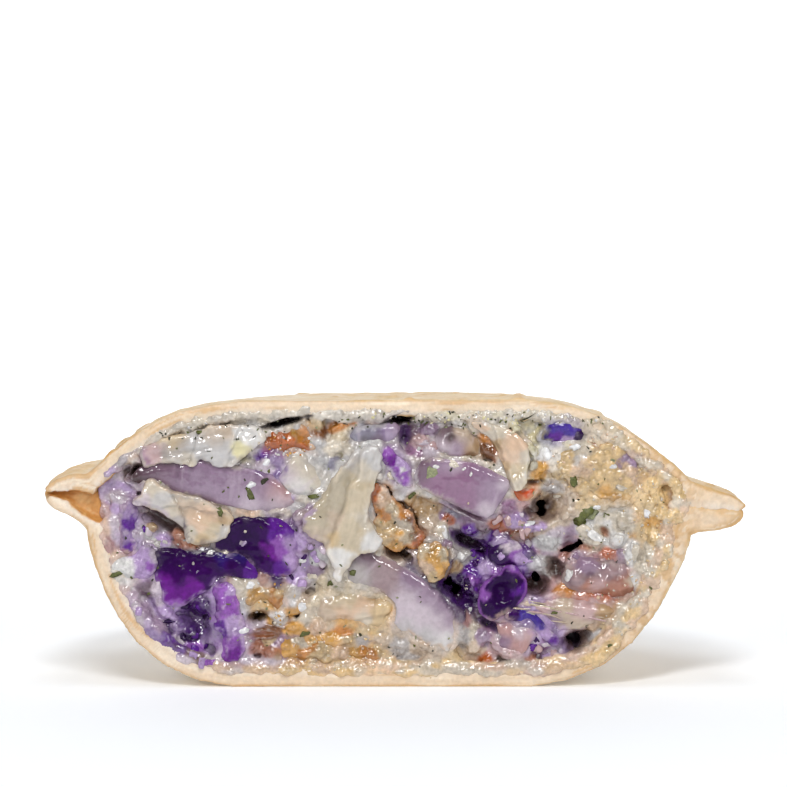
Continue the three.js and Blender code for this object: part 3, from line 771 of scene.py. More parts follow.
# For each piece: what it is like, how far its edge dips into the sauce (merge), how far it stands out of
# the sauce (proud), how frayed its edge is and how crinkled a leaf is. The rest is drawn in the cut face:
# outline, its corners: x,height
# spots, its colours: x,height,reach,colour
# forms, which rise from it or sink in: x,height,reach,rise
# steps, up to the right of a line between two points: x,height,x,height,half width,rise
# rim, along its edge: colour,width,strength
LOOKS = {
    "chicken_sheet": dict(
        like=flake, merge=0.1, proud=1.2, fray=0.45,
        outline="""-41,39.4 -41.3,38 -40.7,36.4 -39.6,36.7 -38.5,37.2 -36.5,37.2 -35,37.1 -33.4,36.5
            -32.4,37.1 -31.9,37.8 -30.6,37.7 -28.6,37 -26.6,36.6 -25.6,37.4 -24.8,38.2 -23.2,39 -22.2,40
            -21.3,41 -21.7,42.4 -24,43.2 -28,43.2 -32,42.4 -35,41.6 -38,40.6""",
        spots="""-40.6,37.8,1.1,rose -39,38.6,1.4,pink -36,39,2,grey -33.4,37.8,1.2,ivory
            -31,40,2.4,silver -28.6,38.6,2,silver -25.2,39.6,1.3,lemon -24,41.6,1.6,white
            -22.4,41.4,1,white -36.4,40.6,1.6,sand -30,42,2,beige""",
        forms="-29,38.6,3.4,0.7 -24,40.6,2,0.7 -36,38,2,0.5",
        steps="-33.6,36,-31.8,42,0.15,0.5 -27.4,36.4,-25.4,43,0.15,-0.4"),
    # Painted shade: onion_slab_left's umber left end and dusk top
    "onion_slab_left": dict(
        like=onion, fray=0.06,
        outline="""-43,34.4 -41.6,36 -39,37 -36,37.3 -32,37.7 -29,37.2 -26,36.4 -23,35.6 -20.4,35 -18.4,34
            -16.8,32 -16.5,30.6 -18,29.6 -21,29.2 -24,29.5 -28,30.4 -32,31.3 -36,32.2 -38.5,33.4 -41,33.4""",
        spots="""-42.4,34.8,1.6,umber -40.4,36,1.6,dusk -37,36,2.4,dusk -36,34,2.4,mauve -32,36,2.4,mauve
            -31,33.4,2.6,thistle -27,35,2.4,mauve -26,32.6,2.2,thistle -22,33.6,2.6,mauve
            -18.6,32.4,1.8,blush -24,30.4,1.4,pale_lilac -19,30.4,1.6,pale_lilac -29,31.2,1.2,thistle""",
        forms="-30,33,6,0.3"),
    "chicken_flake_left": dict(
        like=flake, merge=0.3, proud=1, fray=0.35, rim="tan,0.35,0.5",
        outline="""-42.6,30.6 -40.9,31.7 -40.3,33.8 -39.4,34 -38.3,33.3 -36.4,32.2 -34.2,31.6 -31.6,30.8
            -29,30 -27.4,29.2 -26.6,27.6 -27.1,26.2 -27.6,25 -29,24.4 -30.4,24 -32,23.6 -33.7,24
            -34.1,25.4 -34.4,26.6 -35.4,27.6 -36.8,28.4 -38.4,29.4 -39.8,30.2 -41,30.5""",
        spots="""-41.6,31,1.4,pale_lilac -39.2,32.6,1.4,ivory -38,31,1.4,silver -36.6,29.6,1.3,ivory
            -35,28,1,grey -33.8,25.4,1,ivory -33.6,30.8,1.8,beige -31.8,28.4,1.8,peach -29,29,1.4,peach
            -29.8,26.6,1.4,cream -28,25.6,0.9,silver -31.4,24.6,1.1,sand -27.6,28.2,0.9,tan""",
        forms="-31,26.6,2,0.5 -32.4,30,1.6,-0.3",
        steps="-33.4,24,-36.6,32.4,0.15,-0.7 -26,28.4,-34,29.6,0.15,0.5"),
    # Painted shade: the fawn spots down chicken_flake_centre's left half stand for the shaded side of its
    # fold
    "chicken_flake_centre": dict(
        like=flake, merge=0.3, proud=1, fray=0.5,
        outline="""-4.4,39.8 -3,39.6 -2.3,38 -2.4,36.4 -3,34.6 -3.7,33 -4.2,31 -4.4,29 -4,27.6 -3.3,26.2
            -2.4,24.6 -3,23.1 -4.8,22.9 -6.2,22 -7.4,20.6 -8.4,18.8 -9.1,17.9 -9.7,19 -10,21 -10.6,22.8
            -11.5,23.9 -13.4,25.4 -14.8,26.8 -14.9,28.2 -13.6,29.4 -12,31 -10.8,32.6 -9.6,34.4 -8.6,36.2
            -7.4,37.6 -5.8,38.8""",
        spots="""-3.6,38.4,1.6,silver -5,36,1.4,ivory -8.4,34,1.8,fawn -10.4,31.4,2,fawn -12.6,28.4,2,fawn
            -10,28,1.4,beige -6,33.4,1.6,cream -5.6,30.4,1.6,cream -4.4,27.4,1.6,ivory -3.6,25,1.3,white
            -7.4,25.4,1.8,cream -8.6,21,1.6,white -12.4,25.6,1.2,beige -9.6,25,1,sand -7,37,1.2,grey""",
        forms="-4.6,26,2,0.5 -5,32.6,1.8,0.4 -12.6,28,1.6,0.3",
        steps="-10.6,23,-5.6,37,0.3,0.8"),
    "chicken_strip": dict(
        like=flake, merge=0.3, proud=1, fray=0.22,
        outline="""12.8,43.7 14.6,43.6 16.6,43 18.6,42.4 20.5,41.2 21.6,39.8 21.7,38 21.5,36 21.2,34
            20.6,32.9 19.8,32.8 19.2,33.6 18.6,35 18,37 17.2,39 16,40.6 14.4,42.2""",
        spots="""13.6,43.4,1,peach 16.6,41.8,1.4,ivory 19.4,41,1.6,peach 18.8,38.4,1.4,peach
            20.9,38,1,ivory 19.8,35.6,1.1,cream 20.4,33.6,0.9,ivory 16.6,40,0.8,tan 18.2,36.6,0.7,tan""",
        forms="19.6,39,1.6,0.3 20.2,34.4,1,0.5",
        steps="18.9,34,16.8,42,0.15,0.6"),
    "chicken_fibre": dict(
        like=flake, merge=1, proud=0.5, fray=0.4,
        outline="""19.8,13.4 21.6,14.5 24,14.2 27,14.7 30,14.6 33,14.1 35.4,13.4 36.4,12.4 35.4,11.4
            33,10.7 30,9.9 27,9.6 25.2,10.8 23.4,12.3 21.4,12.9""",
        spots="""21.6,13.8,1.4,beige 25,13.6,1.6,pink 28,13,1.8,beige 31,12.8,1.8,pink 34.6,12.6,1.6,tan
            26.6,11,1.4,thistle 30,10.8,1.6,beige""",
        forms="28,12.6,3,0.4"),
    "chicken_pale_low": dict(
        like=flake, merge=1, proud=0.5, fray=0.6, rim="gold,0.3,0.5",
        outline="""-13.2,11.8 -13,13.6 -12,15 -10,15.8 -7,16 -4.6,15.4 -2,15 -0.4,14.6 0.4,13.6 0.4,12.2
            -0.6,11 -1,9.9 -2.6,9.5 -4,9.4 -6,10.2 -8,10.7 -10,10.9 -12,10.7""",
        spots="""-11.4,13.4,1.8,beige -8.4,14.4,1.8,cream -8,12.4,1.6,peach -5,13.4,1.6,peach
            -5,11.4,1.4,ivory -2,12.6,1.4,sand -2.4,10.2,1.1,sand -11,11.4,1.2,beige -4,15,1,tan
            -0.2,12.6,0.8,gold""",
        forms="-6,13,3,0.4",
        steps="-13,10,-1,12.4,0.3,-0.4 -4,9,-2.4,16,0.3,0.4"),
    "chicken_crumb_right": dict(
        like=meat, slot=CHICKEN, merge=0.9, proud=0.5, fray=0.4,
        outline="""26.6,38.4 28.2,40 30.4,41 33,41 36,40 38.6,38 40,35.6 39.8,33 38.4,31.2 36,30.8
            33.4,31.4 31,32.8 29.6,34.4 27.6,35.4 26.4,36.8""",
        spots="""28,38,1.8,wheat 31,39.6,1.6,ivory 33.4,38.4,2,wheat 31,36,1.6,peach 34.6,35.4,2,wheat
            38.2,37.4,0.9,heather 36.8,34,1.3,wheat 38.8,35,1.2,peach 35,32.4,1.4,gold 32,34,1.6,wheat
            33,40.8,1.1,clay 30.6,37.4,0.8,white"""),
    "chicken_bit_left": dict(
        like=meat, slot=CHICKEN, merge=1.3, proud=0.3, fray=0.25,
        outline="""-24.8,14.4 -24.2,16.2 -22.4,17 -20,16.8 -18.2,16.4 -17.5,15.2 -18,13.6 -18.6,12.4
            -19.4,12.2 -20.4,13 -21.8,13.3 -23.4,12.6 -24.4,12.8""",
        spots="""-22,15,1.6,gold -20,14.8,1.2,amber -23.8,16,1,ivory -18.4,15.6,1,sand -19,13.4,0.9,amber
            -22.8,13.6,1,tan -21,16.6,1,cream""",
        forms="-21,14,1.4,-0.5"),
    "chicken_pink": dict(
        like=flake, merge=1.3, proud=0.4, fray=0.6,
        outline="""27.6,17.6 28.4,19.8 30.2,21.4 32.6,21.6 35,20.8 37.6,20 39.4,18.6 40,16.8 38.8,15.3
            36.4,14.9 33.4,14.9 30.4,15.4 28.4,16.2""",
        spots="""29.6,18,1.5,fig 31.6,20.4,1.6,mauve 34,18.6,1.4,fig 33.4,17,1.2,pink 36.4,19,1.4,fig
            37.6,17,1.4,clay 32.4,15.6,1.5,clay 35.6,15.6,1.2,clay 38.8,17.4,0.8,ivory 35,20.4,1,dusk
            28.4,17.4,0.9,dusk""",
        forms="29.8,18,1.4,0.9 34.4,17.4,1.3,0.7 32.2,18.4,0.8,-0.8 36.8,18.6,0.8,-0.5"),
    "chicken_knob": dict(
        like=meat, merge=0.3, proud=1, fray=0.12, rim="gold,0.3,0.5",
        outline="""4.2,22.4 4.8,23.6 6.4,24 7.8,23.6 8.7,22.2 8.6,20.6 8,19 7,17.9 5.8,17.9 4.9,18.9
            4.2,20.4""",
        spots="""5.2,22.6,0.9,cream 6.2,21.4,1,gold 5.4,20,0.9,peach 7.4,20.6,1,gold 8.2,22.4,0.8,cream
            6.6,18.6,0.8,sand 6.4,23.4,0.7,gold""",
        forms="6.4,20.8,1.8,0.6"),
    "chicken_browned": dict(
        like=meat, fray=0.22, rim="amber,0.45,0.8",
        outline="""-4,31.6 -3.8,33.4 -2.4,33.6 -1,32.6 0,31 1.2,29.6 2.8,28.4 3,27.2 3.6,26 4.8,25.2
            4.6,23.9 3.4,23.3 2.2,23.8 0.8,22.7 -1,23.1 -2.4,24.2 -3,25.6 -3.2,27.2 -2.6,28.4 -3.4,30""",
        spots="""-3.5,31.8,0.9,orange -3.2,29.6,0.8,amber -1.7,31.4,1.1,peach -1.8,28.7,0.8,amber
            0,29.3,1,cream 1.6,28.2,0.7,amber -1.4,26.4,1.3,sand 0.2,24,1,gold 1,26.4,1,ivory
            2.8,25.1,0.5,brown 2.9,26.9,0.5,brown 3.9,24.7,0.8,orange 1.5,24.9,0.8,cream
            -1.6,31.2,0.3,umber""",
        forms="-2,31,1.3,0.5 0,29,1.2,0.4 -0.6,27.4,1,-0.7 2.8,25.1,0.5,-0.6 1,25.4,1.2,0.4"),
    "chicken_browned_low": dict(
        like=meat, merge=0.9, proud=0.5, fray=0.3,
        outline="""-18.6,6.6 -17.4,8 -15,8.4 -12.6,7.6 -10,6.6 -7.6,6.6 -5,6.6 -2.6,6.6 -1,5.8 -1.4,4.6
            -4,4.1 -7,4.2 -10,4.2 -13,4.1 -16,4.3 -18.2,5""",
        spots="""-17,5.8,1.2,gold -15.8,7.4,1,ivory -14.4,5.4,1.2,amber -11.6,5.6,1.3,sand
            -9,5.6,1.2,peach -6.6,5.2,1.1,gold -4.2,5,1.1,amber -2.4,5.6,1,sand -13,4.2,1,sand"""),
    "chicken_top": dict(
        like=meat, merge=0.9, proud=0.5, fray=0.25,
        outline="""-21.3,41 -19.8,42 -17,42.6 -14.8,43 -14.1,41.8 -13,41 -12.4,40 -13,38.7 -14.4,38.4
            -15.6,39 -17,39 -18.4,38.7 -19.6,39.2 -20.8,39.8""",
        spots="""-20,40.8,1.2,orange -17.6,40.6,1.4,orange -18.6,39.4,1,rust -15,41.4,1.2,amber
            -16.6,42.2,1.2,mustard -13.6,39.8,1.1,peach -15,39.6,0.8,orange -20.8,41.4,0.7,umber"""),
    "onion_slab_right": dict(
        like=onion, merge=0.3, proud=1, fray=0.04, rim="pale_lilac,0.25,0.6",
        outline="""3.6,35.6 4.6,37.2 6.4,37.8 9,37.4 11.4,37.1 13,36.9 16,35.6 18.5,34.2 18.7,33.3
            17.8,31.6 16.9,30.3 16.2,28.9 15,28.2 13,28.9 10,30.4 7,31.8 4.6,33 3.4,34.3""",
        spots="""4.6,36,1.6,dusk 7.4,34.4,2,rose 8,37,1.4,thistle 12,34.4,2.4,rose 11.6,31.6,1.6,rose
            15.6,32.8,2,thistle 17.8,33.4,0.8,pale_lilac 15,29.2,1,pale_lilac 10,36.6,0.9,pale_lilac
            14,35.4,1.4,mauve""",
        forms="11,33.4,4,0.25"),
    "onion_wedge": dict(
        like=onion, fray=0.22, rim="silver,0.3,0.4",
        outline="""-6.8,21.2 -5.6,22.5 -3.4,22.8 -2,21.7 0,20.7 2,19.8 4,18.3 6,16.9 8,15 9.6,13.2 10,11.6
            9.8,9.4 9.6,7.6 8.6,6.2 7.4,6.8 5.4,7.4 4,8.4 2.4,9.3 1,9.6 0.2,10.8 0.7,12.4 0.5,14 -1.2,15.6
            -3.6,16.6 -6,17 -7.4,18.2 -7.7,19.8""",
        spots="""-4.4,21.4,1.6,dusk -5.6,18.8,1.8,grey -1.6,20,1.6,fig -1.6,17.2,1.8,fig 2.6,18,1.4,mauve
            1.8,15,1.6,pale_lilac 5.4,15.6,1.4,thistle 7.8,13.6,1.2,mauve 3.4,12,1.8,pale_lilac
            7.4,10.6,1.6,pale_lilac 9,11.4,0.9,mauve 2.4,10.4,1.1,silver 8,7.8,1.2,white
            5.4,8.8,1.2,silver""",
        forms="3,14,4,0.4 7.4,9,2,0.3"),
    "onion_bit_right": dict(
        like=onion, fray=0.18, rim="white,0.25,0.7",
        outline="""17,10.3 18.4,10.6 20,10 22.3,9.7 23.3,8.8 22.6,7.8 21.6,6.4 20.6,5.5 19,6.2 17.2,7
            17.5,8.4""",
        spots="""18.4,9.6,0.9,blush 20.4,9.2,0.8,pale_lilac 22,9,0.8,pink 20.4,7.4,1.1,blush
            18,7.4,0.9,mauve""",
        forms="20,8.6,1,0.4"),
    # onion_grey's slate and umber tones are partly its colour and partly painted shade under the lid
    "onion_grey": dict(
        like=onion, fray=0.15,
        outline="""-7.1,41.4 -6.2,42.6 -4,43.1 -2,43.1 0,43.2 0.8,42.6 0.4,41.5 -1,40.5 -2.6,40.1
            -4.6,40.2 -6.2,40.4""",
        spots="""-6,41.4,1.1,slate -3.6,42.2,1.2,slate -1.2,42.2,1.1,heather 0.2,42.5,0.8,mauve
            -4.6,40.7,0.8,umber -2.6,40.7,0.9,dusk""",
        forms="-3.4,42,1.4,0.5"),
    "onion_soft": dict(
        like=onion, merge=1.3, proud=0.3, fray=0.3,
        outline="""6.4,41 7.6,42.6 10,43.2 12.2,42.8 13.5,41.4 14.3,39.6 14.2,38.1 12.8,37.2 10.6,37.2
            8.6,37.8 7,38.6 6.3,39.8""",
        spots="""8,42,1.2,dusk 9.2,41,0.8,umber 11.4,41.6,1.2,beige 12.8,39.4,1.2,tan
            8,39.4,1.2,pale_lilac 10.6,39.6,1.2,thistle 12.2,38,0.8,brown 7,40.4,0.9,pale_lilac""",
        forms="8,39.6,1.3,0.7 11.4,41.4,1.2,0.5 9.4,41,0.8,-0.9 12.4,38.2,0.7,-0.6"),
    "onion_pale": dict(
        like=onion, slot=PALE_ONION, fray=0.08,
        outline="""-18.6,34.6 -17.4,36.6 -16.4,37.8 -15,38.4 -14.2,38.1 -13.2,36.4 -12.4,35 -11.4,33.2
            -12.2,32.2 -13.8,31.6 -15.4,31.7 -16.6,32 -17.6,33.2""",
        spots="""-15.4,36,1.8,ivory -17,35,1.2,pale_lilac -13.4,34,1.2,ivory -15.2,33,1.4,white
            -14,37.4,0.9,grey""",
        forms="-15,34.6,2,0.5"),
    "pepper_bit": dict(
        like=onion, slot="pepper", fray=0.1,
        outline="19.6,32.6 20.6,32.6 21.6,33.2 23.3,33 22.8,32 21.9,31 20.6,31",
        spots="21.6,32.4,1.4,ember 20.4,31.6,0.7,orange"),
    # cabbage_leaf_lower's pale rim is partly the leaf's paler edge and partly a painted highlight along its
    # rolled upper edge
    "cabbage_leaf_lower": dict(
        like=leaf, fray=0.12, crinkled=0.25, rim="pale_lilac,0.16,0.8",
        outline="""-39,22.2 -38.6,20.2 -39.2,18.6 -38.4,17 -37.7,15.6 -38,14.4 -36.8,13.6 -35.6,13.4
            -34.3,13.6 -33,14.6 -31.4,15.6 -30,16.8 -29,18 -27.6,18.6 -26.4,18.4 -25,18.2 -23.6,18.2
            -22.5,18.3 -23.2,20 -24.6,21.4 -26,22.1 -28,22.5 -30,22.6 -32,22.8 -35,22.8 -37.4,22.8""",
        spots="""-37,22.4,2,plum -32,22.4,2.6,plum -27,21.8,2,indigo -35,19.6,2.2,purple
            -30.6,19.6,1.8,purple -36.6,16.6,1.8,magenta -33.4,16.4,1.4,magenta -36,14.2,0.9,orchid
            -26.6,19.6,1.6,purple -23.6,19.2,1,violet""",
        forms="-36,17.6,3,0.6 -33,21.6,3,-0.5 -27,19.6,2,0.4"),
    "cabbage_leaf_upper": dict(
        like=leaf, fray=0.2, crinkled=0.6,
        outline="""-29.4,24.4 -28,26 -26.4,27.4 -24,28 -21,27.8 -19,27.5 -17.4,26.6 -16.3,25.4 -15.9,23.6
            -16.2,22 -15.6,20.6 -16.6,19.2 -18.4,18.4 -20.2,18.2 -21.6,18.6 -22.6,19.4 -24.4,21 -26.4,22
            -28.4,22.4 -29.6,23""",
        spots="""-27,25,2,plum -24.4,25.4,2,plum -23.4,22,1.8,plum -21.2,25.6,1,purple
            -20.8,22.6,1,magenta -19.2,26,1,violet -17.6,25.4,0.9,violet -18.6,23.4,1.2,orchid
            -17.2,21.2,1.1,lilac -17.4,24.4,0.9,lilac -18.6,20,1.1,violet -20.4,20,1,purple""",
        forms="-25,24,3.4,-0.5 -18.4,24,1.8,0.9 -17.6,20.6,1.5,0.8 -20,26,1.3,0.4"),
    "cabbage_cup": dict(
        like=leaf, merge=0.3, proud=1, fray=0.15, crinkled=0.5, rim="orchid,0.6,0.8",
        outline="""14.2,12.4 14,14.4 14.6,16.6 16,18 17.4,18.8 18.4,19.8 20,19.8 20.6,18.6 21.6,17.6
            21.6,16 21,14.4 19.4,13 17.6,12 16.4,11.2 15,11.6""",
        spots="""17.6,16,2.2,plum 18.6,17.6,1.4,plum 16.6,14.4,1.4,plum 20.4,16,0.8,violet
            19.6,19.2,0.9,orchid 15,15.6,0.8,orchid""",
        forms="17.7,16,1.9,-1.6 20.6,16,1,0.4 15,14,1,0.4"),
    "cabbage_knot": dict(
        like=leaf, fray=0.25,
        outline="""15.6,22 16.4,23.4 17.8,24.1 19.4,24 20.6,23.2 21.6,21.8 22.6,20.6 21.6,20 20,20.1
            18.4,20.4 17,20.3""",
        spots="""16.6,22,1.2,plum 17.4,21,0.8,purple 18.6,23.2,1,pale_lilac 19.6,22,0.9,orchid
            20.8,21.6,0.8,lilac 18.4,20.9,0.8,purple""",
        forms="18.6,22.6,1.4,0.7"),
    "cabbage_rib": dict(
        like=leaf, fray=0.35,
        outline="""-29.2,16.4 -28.4,17.1 -27,17 -26.2,16.4 -26,15 -25.4,13.4 -25,11.4 -24.7,9 -24.6,7
            -25,5.4 -26,4.4 -27.4,4.4 -28.2,5.2 -28,6.6 -28,8.4 -28.8,9.6 -29.5,10.6 -29.3,12 -29,13.4
            -28.8,14.4 -29.5,15.4""",
        spots="""-28.4,15.6,1,orchid -29.2,12.4,0.9,magenta -28,12,1.1,orchid -27,13.6,1,orchid
            -26.4,9.8,1,lilac -25.3,10.6,0.7,lilac -27,7,1.2,orchid -26,5.4,1,magenta -25.1,7.4,0.7,lilac
            -26.4,15.8,0.7,lilac -28.2,9.6,0.8,violet""",
        forms="-27.4,13,1.3,0.6 -26.4,8,1.2,0.6 -26.6,10.6,1,-0.3"),
    "cabbage_root": dict(
        like=leaf, fray=0.15,
        outline="""-46,20.4 -44.6,21.2 -42.6,21.6 -41.6,22.6 -41,23.2 -40,22.8 -39.3,21.6 -38.9,20
            -39.5,19 -40.6,18.1 -42.4,17.9 -43.8,18.1 -45,18.8 -46,19.4""",
        spots="""-45,19.9,1.1,white -43.6,19.6,1.1,white -41.4,20.4,1.1,lilac -40.4,22.2,0.9,lilac
            -39.7,19.6,0.8,orchid -41,18.6,0.9,lilac""",
        forms="-42.4,20,1.6,0.5"),
    "cabbage_shred": dict(
        like=leaf, fray=0.12,
        outline="""-2.6,38.6 -1.4,39.7 -0.4,39.1 0.3,38.2 1.4,37.5 2.4,36.6 2.8,35 3.1,33.8 2.4,32.9
            1.2,33.4 0.2,34.4 -0.4,35.6 -1.4,36.6 -2.4,37.4""",
        spots="""-1.7,38.5,0.9,orchid -0.6,37.6,0.7,magenta 0.8,36.8,0.7,lilac 1.4,35.4,0.6,silver
            2.3,34,0.8,orchid 0.6,35,0.6,orchid 2.2,36.2,0.5,lilac""",
        forms="-1.2,38,1,0.3 1.4,35.6,1,0.4 0.1,37.4,0.5,-0.4"),
    "cabbage_strip_left": dict(
        like=leaf, fray=0.2,
        outline="""-45,30 -43.8,30.6 -42.7,30 -42.1,28.4 -42.6,26.6 -42.6,24.6 -42.1,23.6 -43.4,22.2
            -44.6,22.8 -44.8,25 -45,27.4""",
        spots="""-44.4,29,1,heather -43.3,27,0.9,violet -43.9,24.6,1,heather -42.8,23,0.8,violet
            -44.4,30.2,0.7,thistle"""),
    "cabbage_strip_right": dict(
        like=leaf, fray=0.1,
        outline="""18.3,11.6 18.8,12.6 20.4,12.8 22.4,12.5 23.6,11.6 24.7,10.1 26,8.7 27,7.7 26.4,6.9
            25.2,7.7 24,8.9 22.8,10.4 21.4,11.2 19.6,11""",
        spots="""19.6,11.9,1,purple 21.6,11.9,0.8,blue_violet 23.4,10.9,0.7,blue_violet 24.8,9.2,0.7,lilac
            26.2,7.8,0.7,violet"""),
    "cabbage_chunk_right": dict(
        like=leaf, fray=0.2,
        outline="""24.2,41 24.9,42 25.2,43.4 26,44.1 28,44.1 29.2,43.4 30.3,42.4 30.8,41.5 29.6,40.6
            28,40.4 26,40.6""",
        spots="""25.4,41.6,0.9,indigo 26.6,43,1,blue_violet 28.6,42.6,0.9,blue_violet 29.9,41.7,0.6,plum
            26.6,41.3,0.8,violet 28.2,41.2,0.7,lilac""",
        forms="28.2,42.2,1,0.4"),
}


# The creamy mass between the pieces

CORE_SEED = 60
ZONE_SEED = CORE_SEED + 5

# Where the mass changes over the cut face: x, height, reach, and the three colours it is made of there
ZONES = list(rows("""
-30 42 9 grey ivory beige, -20 41 4 white ivory grey, -21 38 3 violet lilac white,
-42 28 5 lilac pale_lilac mauve, -46 27 3 peach pink pale_lilac, -47 22 3 peach blush sand,
-44 16 2.5 ivory pink white, -37 25 4 grey plum white, -40 12 5 pale_lilac lilac pale_lilac,
-34 9 5 purple lilac violet, -26 5 5 lilac pale_lilac mauve, -20 7 4 mauve tan brown,
-17 22 5 lilac mauve violet, -20 14 4 sand gold ivory, -10 17 5 ivory cream silver,
-9 5 7 gold sand amber, -7 38 5 silver white grey, 3 42 4 mauve grey pale_lilac,
14 44 9 white ivory lemon, 26 44 8 white lemon grey, 12 27 4 mauve grey tan, 10 15 4 plum plum purple,
8 6 6 beige peach tan, 18 23 4 purple violet lilac, 20 28 3 mauve pink lilac, 18 5 4 mauve pink grey,
26 6 5 heather lilac pale_lilac, 25 30 4 beige sand wheat, 29 22 4 mauve pink brown,
34 17 5 pink orange mauve, 36 10 5 beige tan peach, 34 37 7 wheat sand gold, 36 28 5 white ivory silver,
41 26 4 gold sand wheat, 42 19 4 white ivory cream, 43 31 3.5 wheat peach sand
""", 3))
ZONE_COLOURS = np.array([[COLOURS[name] for name in names] for *_, names in ZONES])


def zone_weights(points):
    """How much of each zone there is at each point."""
    wander = 2 * np.stack([noise(points, 4, ZONE_SEED), noise(points, 4, ZONE_SEED + 1)], axis=1)
    weights = []
    for x, z, reach, _ in ZONES:
        away = np.hypot(points[:, 0] + wander[:, 0] - x, points[:, 2] + wander[:, 1] - z) / reach
        weights.append(np.exp(-2.5 * away * away))
    weights = np.array(weights).T + 1e-9
    return weights / weights.sum(axis=1, keepdims=True)


def zone_colours(points, pick):
    """The colour of the mass at each point; pick runs from 0 to 1 through the zone's three colours."""
    weights = zone_weights(points)
    first, second, third = (weights @ ZONE_COLOURS[:, k] for k in range(3))
    return mix(mix(first, second, ease(0.35, 0.6, pick)), third, ease(0.72, 0.9, pick))


def sauce_over(piece):
    """The piece's colours with sauce that has run over its edge here and there."""
    points = piece.points
    pick = np.clip(0.5 + 0.6 * layered(points, 1.4, piece.seed + 50), 0, 1)
    here = ease(-0.15, 0.35, noise(points, 3, piece.seed + 51))
    near_edge = ease(0.9, 0.2, piece.inside + 0.7 * layered(points, 0.8, piece.seed + 52))
    cover = 0.25 if piece.slot == BROWNED else 0.7
    return mix(piece.tints, zone_colours(points, pick), cover * here * near_edge)


pieces = []
dressed = []
for number, node in enumerate(PIECE_NODES):
    look = LOOKS[node]
    piece = Piece(node, PIECE_SEED + PIECE_SEED_STEP * number, **look)
    piece.tints = look["like"](piece)
    paint(piece.mesh, sauce_over(piece))
    pieces.append(piece)
    kind = "smooth_red_cabbage" if piece.crinkled < 1 else MATERIAL_OF[look["like"]]
    dressed.append(show(node, piece.mesh, MATERIALS[kind], piece.slot, [node]))


def crumbliness(points):
    """How grainy the mass is: 1 where it is all crumb, and 0.4 where it is mostly cream."""
    x, z = points[:, 0], points[:, 2]
    right = ease(20, 27, x) * ease(15, 22, z)
    under_lid = ease(39, 42, z)
    low = np.exp(-((x + 8) / 8) ** 2 - ((z - 5) / 3.5) ** 2)
    patches = ease(0, 0.6, layered(points, 7, CORE_SEED + 8))
    return np.clip(0.25 * patches + right + 0.8 * under_lid + 0.8 * low, 0.4, 1)


def ball(steps):
    """A unit ball of triangles with evenly spread points."""
    shape = bmesh.new()
    bmesh.ops.create_icosphere(shape, subdivisions=steps, radius=1)
    points = np.array([v.co for v in shape.verts])
    faces = np.array([[v.index for v in f.verts] for f in shape.faces])
    shape.free()
    return points, faces


BACKWARDS = Vector((0, 1, 0))
FORWARDS = np.array([0, -1, 0])
EYE_AWAY = 20
FACE_LEFT, FACE_RIGHT, FACE_LOW = -48, 46, 3
DEEPEST_SMALL, DEEPEST_LUMP, DEEPEST_SMEAR = 2.2, 3, 2.5  # how far behind the cut they may lie
CRUST_TREE = tree_of([node_arrays(name) for name in CRUST_NODES])


Spot = namedtuple("Spot", "place facing on_piece")


class Ground:
    """What a straight look into the cut meets."""

    def __init__(self, core_part):
        parts = [core_part] + [mesh_arrays(piece.data) for piece in dressed]
        self.tree = tree_of(parts)
        self.core_faces = len(core_part[1])

    def meet(self, x, z):
        """The spot that is met, or none where pastry or nothing is met."""
        start = Vector((x, CUT - EYE_AWAY, z))
        place, facing, face, away = self.tree.ray_cast(start, BACKWARDS)
        if place is None:
            return None
        crust = CRUST_TREE.ray_cast(start, BACKWARDS)
        if crust[0] is not None and crust[3] < away:
            return None
        return Spot(np.array(place), np.array(facing), face >= self.core_faces)


